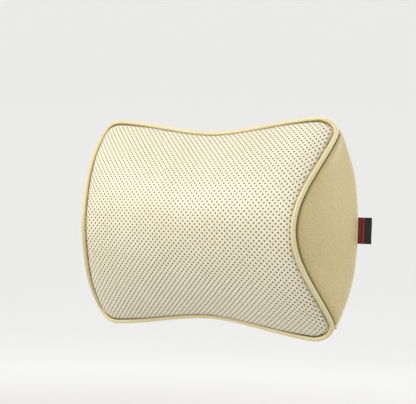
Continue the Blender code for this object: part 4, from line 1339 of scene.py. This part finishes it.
@dataclass
class Zip:
    """The zip across the rear: tapes, coils, stops, slider and pull."""

    finishes: Finishes
    tape_width: float = 9.5 * MM
    closed: float = 0.15 * MM           # each tape's edge stands this far off the line where shut
    opened: float = 1.3 * MM            # and this much further past the slider
    teeth_pitch: float = 1.3 * MM
    teeth_wire: float = 0.27 * MM
    teeth_reach: float = 0.95 * MM
    plate: float = 0.8 * MM             # thickness of the slider's plates
    bridge_height: float = 2.9 * MM
    wedge: tuple[float, float] = (3.9 * MM, 1.1 * MM)   # its length and half width
    stitch_line: float = 7.3 * MM       # the topstitching's distance from the zip's line

    def build(self) -> None:
        """Make every piece of the zip."""
        low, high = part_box("zip_slider")
        self.centre = (low + high) / 2
        self.line = self.centre.z
        self.build_tapes()
        self.build_coils()
        self.build_slider()
        self.build_pull()
        self.build_edge_stitching()
        for node in ("zip_stop_upper", "zip_stop_lower", "zip_bottom_stop"):
            self.build_stop(node)

    def parting(self, x: Points) -> Points:
        """How far a tape's inner edge stands off the zip's line at x."""
        return self.closed + self.opened * smooth(x, self.centre.x - 5.8 * MM, self.centre.x + 1.2 * MM)

    def build_tapes(self) -> None:
        """Woven tapes with a corded inner edge."""
        share = np.array([0, 0.04, 0.12, 0.3, 0.5, 0.7, 0.9, 1.0])[:, None]
        for way, node in ((1, "zip_tape_upper"), (-1, "zip_tape_lower")):
            low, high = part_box(node)
            x = np.concatenate([np.linspace(low.x, self.centre.x - 8 * MM, 90),
                                np.linspace(self.centre.x - 7 * MM, high.x, 30)])[None, :]
            inner_edge = self.parting(x)
            z = self.line + way * (inner_edge + (self.tape_width - inner_edge) * share)
            crown = -0.12 * MM * smooth(share, 0.04, 0.3)
            top = np.stack(np.broadcast_arrays(x, high.y + crown, z), -1)
            bottom = np.stack(np.broadcast_arrays(x, low.y, z), -1)
            points, faces = shell(top, bottom, flip=way > 0)
            tape = make_piece(node + "_weave", points, faces, [self.finishes.tape])
            settle(tape, "cushion", node)

    def build_coils(self) -> None:
        """Nylon coils whose turns mesh along the zip's line."""
        for way, node in ((1, "zip_coil_upper"), (-1, "zip_coil_lower")):
            low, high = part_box(node)
            turns = int((high.x - low.x - 2 * self.teeth_wire) / self.teeth_pitch)
            t = np.linspace(0, turns, turns * 10 + 1)
            if way < 0:
                t = t[:-5] + 0.5
            x = low.x + self.teeth_wire + t * self.teeth_pitch
            angle = 2 * math.pi * t
            middle = self.parting(x) + self.teeth_reach * 0.72
            z = self.line + way * (middle + self.teeth_reach * np.cos(angle))
            rise = (high.y - low.y) / 2 - self.teeth_wire
            y = (high.y + low.y) / 2 + rise * np.sin(angle)
            points, faces = sweep(np.stack([x, y, z], 1), self.teeth_wire, 6)
            coil = make_piece(node + "_turns", points, faces, [self.finishes.nylon], sharp=70)
            settle(coil, "cushion", node)

    def build_stop(self, node: str) -> None:
        """A cramped metal stop with rounded shoulders.

        Args:
            node: the CAD node it stands for.
        """
        low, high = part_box(node)
        t = np.linspace(0, 2 * math.pi, 25)[:-1]
        half, centre = (high - low) / 2, (low + high) / 2
        levels = [(low.y + (high.y - low.y) * level, scale)
                  for level, scale in ((0, 0.9), (0.15, 1.0), (0.6, 1.0), (0.9, 0.88), (1.0, 0.66))]
        points, faces = plate(squared(np.cos(t), 0.45) * half.x, squared(np.sin(t), 0.45) * half.z,
                              (centre.x, centre.z), levels)
        stop = make_piece(node + "_crimp", points, faces, [self.finishes.zinc])
        settle(stop, "cushion", node)

    def build_slider(self) -> None:
        """The slider: two waisted plates, a wedge, side flanges and an arched bridge."""
        low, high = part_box("zip_slider")
        top_of_plate = high.y - self.bridge_height
        half = (high - low) / 2
        t = np.linspace(0, 2 * math.pi, 41)[:-1]
        x = squared(np.cos(t), 0.6) * half.x
        z = squared(np.sin(t), 0.6) * half.z * (0.80 + 0.20 * smooth(x, -half.x, half.x * 0.5))
        shapes = []
        for y in (top_of_plate - self.plate / 2, low.y + self.plate / 2):
            levels = [(y + level * self.plate, scale)
                      for level, scale in ((-0.5, 0.93), (-0.25, 1.0), (0.25, 1.0), (0.5, 0.93))]
            shapes.append(plate(x, z, (self.centre.x, self.line), levels))
        length, half_width = self.wedge
        nose, overlap = high.x - 0.4 * MM, self.plate * 0.8
        shapes.append(block((nose - length, low.y + overlap, self.line - half_width),
                            (nose, top_of_plate - overlap, self.line + half_width), 0.25 * MM))
        coil_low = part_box("zip_coil_upper")[0].y
        for way in (-1, 1):
            edge = self.line + way * (half.z - 0.3 * MM)
            shapes.append(block((low.x + 1.2 * MM, coil_low, edge - 0.3 * MM),
                                (high.x - 4.6 * MM, top_of_plate - 0.1 * MM, edge + 0.3 * MM), 0.12 * MM))
        t = np.linspace(0, math.pi, 15)
        arch = np.stack([self.centre.x + 2.4 * MM * np.cos(t),
                         top_of_plate - 0.3 * MM + (self.bridge_height - 0.25 * MM) * np.sin(t) ** 0.55,
                         np.full(15, self.line)], 1)
        shapes.append(sweep(arch, 0.55 * MM, 10))
        slider = make_piece("slider_casting", *merge(shapes), [self.finishes.zinc])
        settle(slider, "slider", "zip_slider")

    def build_pull(self) -> None:
        """The pull: a rounded plate with a dished middle, hung on a cross bar in the bridge."""
        low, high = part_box("zip_pull")
        axis, y = self.centre.x, (low.y + high.y) / 2
        thick, half = high.y - low.y, (high.z - low.z) / 2
        shapes = [block((axis - thick / 2, low.y, self.line - 0.7 * half),
                        (axis + thick / 2, high.y, self.line + 0.7 * half), 0.3 * MM)]
        window_end = axis - 4.6 * MM
        for way in (-1, 1):
            z = self.line + way * 0.55 * half
            shapes.append(block((window_end - 2 * MM, low.y + 0.05 * MM, z - 0.55 * MM),
                                (axis, high.y - 0.05 * MM, z + 0.55 * MM), 0.25 * MM))
        t = np.linspace(0, 2 * math.pi, 49)[:-1]
        half_x = (window_end - low.x) / 2
        x = squared(np.cos(t), 0.45) * half_x
        z = squared(np.sin(t), 0.5) * half * (0.78 + 0.22 * smooth(-x, -half_x, half_x * 0.2))
        levels = [(y + level * thick, scale) for level, scale in
                  ((-0.5, 0.94), (-0.3, 1.0), (0.3, 1.0), (0.5, 0.94), (0.5, 0.72), (0.36, 0.66))]
        shapes.append(plate(x, z, ((window_end + low.x) / 2, self.line), levels))
        pull = make_piece("pull_tab", *merge(shapes), [self.finishes.zinc])
        settle(pull, "pull", "zip_pull")

    def build_edge_stitching(self) -> None:
        """Topstitching that holds each panel's turned edge to the zip tape."""
        form = CushionForm()
        x = np.linspace(-128 * MM, 128 * MM, 60)
        beyond_flat = np.clip((np.abs(x) - form.flat_half) / (form.half_length - form.flat_half), 0, None)
        shapes = []
        for way in (-1, 1):
            path = np.stack([x, -form.rear_fall * beyond_flat + 0.05 * MM,
                             np.full(len(x), self.line + way * self.stitch_line)], 1)
            shapes.append(stitches(path, (0.0, 1.0, 0.0)))
        sewing = make_piece("zip_stitching", *merge(shapes), [self.finishes.thread], sharp=60)
        settle(sewing, "cushion")


# ================================================================ strap, buckle, label

@dataclass
class Strap:
    """The webbing loop behind the cushion, its tabs, buckle and adjuster."""

    finishes: Finishes
    clearance: float = 0.3 * MM
    front_bend: float = 14 * MM
    rear_bend: float = 20 * MM
    tab_length: float = 26 * MM
    thick: float = 1.4 * MM
    bar_radius: float = 2.0 * MM       # half the thickness of a buckle's bar, across the strap
    bar_width: float = 2.8 * MM        # the bar's own width along the strap

    def build(self) -> None:
        """Make the straps and tabs, and dress the buckle and the adjuster."""
        socket_low, socket_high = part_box("buckle_socket")
        strap_low, strap_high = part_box("strap_left")
        adjuster_low, adjuster_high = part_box("strap_adjuster")
        tab_low, tab_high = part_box("strap_tab_right")
        self.depth = (socket_low.y + socket_high.y) / 2
        self.width = strap_high.z - strap_low.z
        self.half_width = -strap_low.x - self.thick / 2
        self.socket_bar = socket_low.x
        self.plug_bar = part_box("buckle_plug")[1].x
        self.adjuster = (adjuster_low + adjuster_high) / 2
        self.adjuster_top = adjuster_high.y
        self.ply = (self.thick + self.clearance) / 2
        self.bar = self.bar_radius + self.clearance + self.thick / 2
        self.tab_centre = (tab_low.x + tab_high.x) / 2
        self.build_left()
        self.build_right()
        for node in ("strap_tab_left", "strap_tab_right"):
            self.build_tab(node)
        for node in ("buckle_socket", "buckle_plug", "latch_arm_upper", "latch_arm_lower", "strap_adjuster"):
            dress_node(node, self.finishes.acetal)

    def anchor(self, side: int) -> list[tuple[float, float, float]]:
        """The strap's first corners: flat on the rear, then back round the headrest's posts.

        Args:
            side: -1 for the left half, 1 for the right.

        Returns:
            X, y and radius of each corner.
        """
        face = self.clearance + self.thick / 2
        return [(side * (self.tab_centre - self.tab_length / 2 + MM), face, 0),
                (side * self.half_width, face, self.front_bend),
                (side * self.half_width, self.depth + self.ply, self.rear_bend)]

    def webbing(self, name: str, corners: Sequence[tuple[float, float, float]]) -> bpy.types.Object:
        """Webbing along a path, ribbed, with thicker selvedges and its own flat layout.

        Args:
            name: the piece's name.
            corners: x, y and radius of the path's corners.

        Returns:
            The piece.
        """
        z = np.linspace(-1, 1, 25)
        rib = 0.06 * MM * np.cos(z * 6 * math.pi) - 0.10 * MM
        edge = np.clip((np.abs(z) - 0.88) / 0.12, 0, 1)
        half = self.thick / 2 + rib * (1 - edge) - edge ** 3 * self.thick * 0.42
        points, flat, faces = band(resample(rounded_path(corners, 6.0), 1.4 * MM), half, self.width)
        return make_piece(name, points.reshape(-1, 3), faces, [self.finishes.webbing], cloth=flat, sharp=60)

    def build_left(self) -> None:
        """The left half: from its tab round to the socket's bar, doubled back and sewn."""
        y, bar = self.depth, self.socket_bar
        far = bar + self.bar_width + self.thick / 2 + self.clearance
        corners = self.anchor(-1) + [
            (bar - 10 * MM, y + self.ply, 8 * MM), (bar - 2 * MM, y + self.bar, 4 * MM),
            (far, y + self.bar, 1.2 * MM), (far, y - self.bar, 1.2 * MM),
            (bar - 2 * MM, y - self.bar, 4 * MM), (bar - 10 * MM, y - self.ply, 8 * MM),
            (bar - 26 * MM, y - self.ply, 0)]
        settle(self.webbing("webbing_left", corners), "cushion", "strap_left")
        self.sew_box("sewing_left", bar - 23 * MM, bar - 13 * MM, y + self.ply + self.thick / 2, "cushion")

    def build_right(self) -> None:
        """The right half: round to the plug's bar and back, and the arch that rides with the adjuster."""
        y, bar = self.depth, self.plug_bar
        near = bar - self.bar_width - self.thick / 2 - self.clearance
        corners = self.anchor(1) + [
            (bar + 6 * MM, y + self.ply, 4 * MM), (bar + 2 * MM, y + self.bar, 3 * MM),
            (near, y + self.bar, 1.2 * MM), (near, y - self.bar, 1.2 * MM),
            (bar + 2 * MM, y - self.bar, 4 * MM), (bar + 10 * MM, y - self.ply, 8 * MM),
            (self.adjuster.x + 2 * MM, y - self.ply, 0)]
        strap = self.webbing("webbing_right", corners)
        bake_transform(strap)
        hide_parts("strap_right")
        turn = self.thick / 2 + self.clearance
        reach, base, middle = 1.4 * MM + turn, y + self.ply + 0.35 * MM, self.adjuster.x
        top, bend = self.adjuster_top + turn, 1.5 * MM
        arch = self.webbing("webbing_arch", [
            (middle + reach + 6.5 * MM, base, 0), (middle + reach + 2.5 * MM, base, bend),
            (middle + reach, top, bend), (middle - reach, top, bend),
            (middle - reach - 2.5 * MM, base, bend), (middle - reach - 6.5 * MM, base, 0)])
        settle(arch, "adjuster")

    def sew_box(self, name: str, low: float, high: float, y: float, body: str) -> None:
        """A sewn box with a cross that joins two plies of webbing.

        Args:
            name: the sewing's name.
            low: its lowest x.
            high: its highest x.
            y: the outer ply's surface.
            body: the body it rides on.
        """
        z = self.width / 2 - 3 * MM
        corners = [(low, -z), (high, -z), (high, z), (low, z), (low, -z), (high, z)]
        shapes = []
        for (x0, z0), (x1, z1) in zip(corners, corners[1:]):
            shapes.append(stitches(np.array([(x0, y, z0), (x1, y, z1)]), (0.0, 1.0, 0.0), 2.6 * MM, 2.0 * MM))
        points, faces = merge(shapes)
        sewing = make_piece(name, points, faces, [self.finishes.webbing], cloth=points[:, ::2], sharp=60)
        settle(sewing, body)

    def build_tab(self, node: str) -> None:
        """A leather tab over a sewn strap end, pressed down round its edge and stitched.

        Args:
            node: the CAD node it stands for.
        """
        low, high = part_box(node)
        half, centre = (high - low) / 2, (low + high) / 2
        u, v = np.meshgrid(np.linspace(-1, 1, 41), np.linspace(-1, 1, 49), indexing="ij")
        corner, inset = 3.5 * MM, 2.2 * MM
        x, z = u * half.x, v * half.z
        over_x = np.clip(np.abs(x) - (half.x - corner), 0, None)
        over_z = np.clip(np.abs(z) - (half.z - corner), 0, None)
        length = np.maximum(np.hypot(over_x, over_z), 1e-9)
        shrink = np.where((over_x > 0) & (over_z > 0), np.maximum(over_x, over_z) / length, 1.0)
        x = np.sign(x) * (np.abs(x) - over_x + over_x * shrink)
        z = np.sign(z) * (np.abs(z) - over_z + over_z * shrink)
        edge = np.minimum(half.x - np.abs(x), half.z - np.abs(z))
        web = smooth(self.width / 2 + 2.0 * MM - np.abs(z), 0, 2.2 * MM)
        web = web * np.where(centre.x * x > 0, 1.0, smooth(half.x - np.abs(x), 0.5 * MM, 2.5 * MM))
        stitched = 0.18 * MM * np.exp(-((edge - inset) / (0.5 * MM)) ** 2)
        lift = high.y - 1.2 * MM * (1 - web) - 0.5 * MM * (1 - smooth(edge, 0, 1.2 * MM)) - stitched
        top = np.stack([centre.x + x, lift, centre.z + z], -1)
        points, faces = shell(top, top - (0.0, 1.0 * MM, 0.0))
        # Painted shade: the tab's pressed-down edge is darkened at half strength.
        crease_shade = np.concatenate([(1 - smooth(edge, 0, 0.8 * MM)).ravel()] * 2) * 0.5
        # The tab wears the shaded copy of the hide: painted shade.
        tab = make_piece(node + "_hide", points, faces, [self.finishes.hide], seam=crease_shade)
        settle(tab, "cushion", node)
        across, up = half.x - inset, half.z - inset
        shapes = []
        level, upright = np.array([(-across, 0), (across, 0)]), np.array([(0, inset - up), (0, up - inset)])
        for ends in (level + (0, up), level - (0, up), upright + (across, 0), upright - (across, 0)):
            line = resample(ends, 0.4 * MM)
            height = [top[np.argmin((x[:, 0] - a) ** 2), np.argmin((z[20] - b) ** 2), 1] for a, b in line]
            path = np.stack([centre.x + line[:, 0], np.array(height) + 0.12 * MM, centre.z + line[:, 1]], 1)
            shapes.append(stitches(path, (0.0, 1.0, 0.0), 2.8 * MM, 2.2 * MM))
        sewing = make_piece(node + "_sewing", *merge(shapes), [self.finishes.thread], sharp=60)
        settle(sewing, "cushion")


@dataclass
class SideLabel:
    """A ribbon folded double and caught in the right rear seam."""

    finishes: Finishes
    ply: float = 0.5 * MM
    clearance: float = 0.3 * MM
    cord: float = 2.2 * MM          # radius of the piping that the ribbon passes over
    bend: float = 1.5 * MM
    fold: float = 0.39 * MM

    def build(self) -> None:
        """Make the folded ribbon."""
        low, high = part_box("side_label")
        seam_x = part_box("rear_piping_right")[1].x - self.cord
        ply = self.ply + self.clearance
        inner = self.clearance + self.ply / 2
        lift = self.cord + inner
        tip = high.x - 0.3 * MM
        path = rounded_path([(low.x, inner, 0), (seam_x - 5 * MM, inner, self.bend),
                             (seam_x - MM, lift, self.bend), (tip, lift + 2 * MM, self.fold),
                             (tip - 0.1 * MM, lift + 2 * MM + ply, self.fold),
                             (seam_x - 1.5 * MM, lift + ply, self.bend),
                             (seam_x - 6 * MM, inner + ply, self.bend), (low.x, inner + ply, 0)], 12.0)
        path = resample(path, 0.5 * MM)
        from_edge = np.clip((np.abs(np.linspace(-1, 1, 17)) - 0.93) / 0.07, 0, 1)
        points, flat, faces = band(path, self.ply / 2 * (1 - 0.6 * from_edge), high.z - low.z)
        wave = 0.35 * MM * np.sin(points[..., 2] / (4 * MM))
        points[..., 1] += wave * smooth(path[:, 0], seam_x, tip)[:, None]
        points[..., 2] += (low.z + high.z) / 2
        label = make_piece("label_ribbon", points.reshape(-1, 3), faces, [self.finishes.ribbon],
                           cloth=flat, sharp=60)
        settle(label, "cushion", "side_label")


def dress_node(node: str, finish: bpy.types.Material) -> None:
    """Give a CAD node that stays its real finish.

    Args:
        node: the node's name.
        finish: its material.
    """
    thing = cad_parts[node]
    thing.data.materials.clear()
    thing.data.materials.append(finish)


# ================================================================ studio

@dataclass
class Studio:
    """The floor, the soft lights and the camera."""

    finishes: Finishes
    floor_drop: float = 0.45
    rim_start: float = 4.0          # the floor begins to rise this far out
    rim_rise: float = 0.05
    azimuth: float = 32.1
    elevation: float = 1.58
    roll: float = 1.12
    distance: float = 1.1853
    lens: float = 103.9
    shift: tuple[float, float] = (-0.0111, 0.0560)
    target: tuple[float, float, float] = (0.0, -28 * MM, 0.0)

    def build(self) -> None:
        """Set the whole studio up."""
        self.build_floor()
        self.build_world()
        self.add_light("key", (-0.85, -1.35, 0.95), 0.8, 15.0, "#fffaf0")
        self.add_light("top", (-0.20, -0.25, 1.30), 0.9, 2.0, "#ffffff")
        self.add_light("rim", (1.3, 0.75, 0.55), 0.5, 6.0, "#ffffff")
        self.add_light("rear", (-0.2, 1.5, 0.9), 1.0, 5.0, "#ffffff")
        self.build_camera()

    def build_floor(self) -> None:
        """A round pale floor that rises gently at its rim, far below the hanging cushion."""
        radii = np.array([0.3, 0.8, 1.5, 2.5, 4.0, 6.0, 9.0, 14.0])
        sides = 64
        angle = np.linspace(0, 2 * math.pi, sides + 1)[:-1]
        heights = self.rim_rise * np.clip(radii - self.rim_start, 0, None) ** 2 - self.floor_drop
        rings = [np.stack([r * np.cos(angle), r * np.sin(angle), np.full(sides, h)], 1)
                 for r, h in zip(radii, heights)]
        points = np.concatenate([[(0, 0, -self.floor_drop)]] + rings)
        faces: Faces = [(0, 1 + k, 1 + (k + 1) % sides) for k in range(sides)]
        faces += [f[::-1] for f in grid_faces(len(rings), sides, start=1, closed_columns=True)]
        make_piece("floor", points, faces, [self.finishes.floor])

    def build_world(self) -> None:
        """An even white surround, a little brighter above."""
        world = bpy.data.worlds.new("studio")
        bpy.context.scene.world = world
        world.use_nodes = True
        tree = world.node_tree
        way = add_node(tree, "TexCoord")
        axes = add_node(tree, "SeparateXYZ", None, {0: way.outputs["Generated"]})
        level = add_node(tree, "MapRange",
                         {"From Min": -0.3, "From Max": 0.8, "To Min": 0.82, "To Max": 0.92},
                         {"Value": axes.outputs["Z"]})
        light = tree.nodes["Background"]
        light.inputs["Color"].default_value = linear("#ffffff")
        tree.links.new(level.outputs[0], light.inputs["Strength"])

    def add_light(self, name: str, place: tuple[float, float, float], size: float, power: float,
                  colour: str) -> None:
        """A square softbox aimed at the cushion.

        Args:
            name: the light's name.
            place: where it stands.
            size: its side.
            power: in watts.
            colour: its sRGB colour.
        """
        lamp = bpy.data.lights.new(name, "AREA")
        lamp.size = size
        lamp.energy = power
        lamp.color = linear(colour)[:3]
        thing = bpy.data.objects.new(name, lamp)
        thing.location = place
        aim = Vector(self.target) - Vector(place)
        thing.rotation_euler = aim.to_track_quat("-Z", "Y").to_euler()
        bpy.context.scene.collection.objects.link(thing)

    def build_camera(self) -> None:
        """The camera, right of the front and level with the cushion."""
        a, e, r = (math.radians(v) for v in (self.azimuth, self.elevation, self.roll))
        back = Vector((math.sin(a) * math.cos(e), -math.cos(a) * math.cos(e), math.sin(e)))
        right = Vector((math.cos(a), math.sin(a), 0))
        up = Vector((-math.sin(a) * math.sin(e), math.cos(a) * math.sin(e), math.cos(e)))
        turned_right = right * math.cos(r) + up * math.sin(r)
        turned_up = up * math.cos(r) - right * math.sin(r)
        lens = bpy.data.cameras.new("camera")
        lens.lens = self.lens
        lens.shift_x, lens.shift_y = self.shift
        lens.clip_start, lens.clip_end = 0.01, 50.0
        camera = bpy.data.objects.new("camera", lens)
        place = Vector(self.target) + back * self.distance
        camera.matrix_world = Matrix(((turned_right.x, turned_up.x, back.x, place.x),
                                      (turned_right.y, turned_up.y, back.y, place.y),
                                      (turned_right.z, turned_up.z, back.z, place.z),
                                      (0, 0, 0, 1)))
        bpy.context.scene.collection.objects.link(camera)
        bpy.context.scene.camera = camera


def main() -> None:
    """Build the pillow's pieces in order, then the studio."""
    logging.basicConfig(level=logging.INFO, format="%(message)s")
    bpy.context.scene.view_settings.view_transform = "Standard"
    finishes = Finishes()
    Filling(finishes).build()
    Cover(finishes).build()
    Zip(finishes).build()
    Strap(finishes).build()
    SideLabel(finishes).build()
    Studio(finishes).build()


if __name__ == "__main__":
    main()
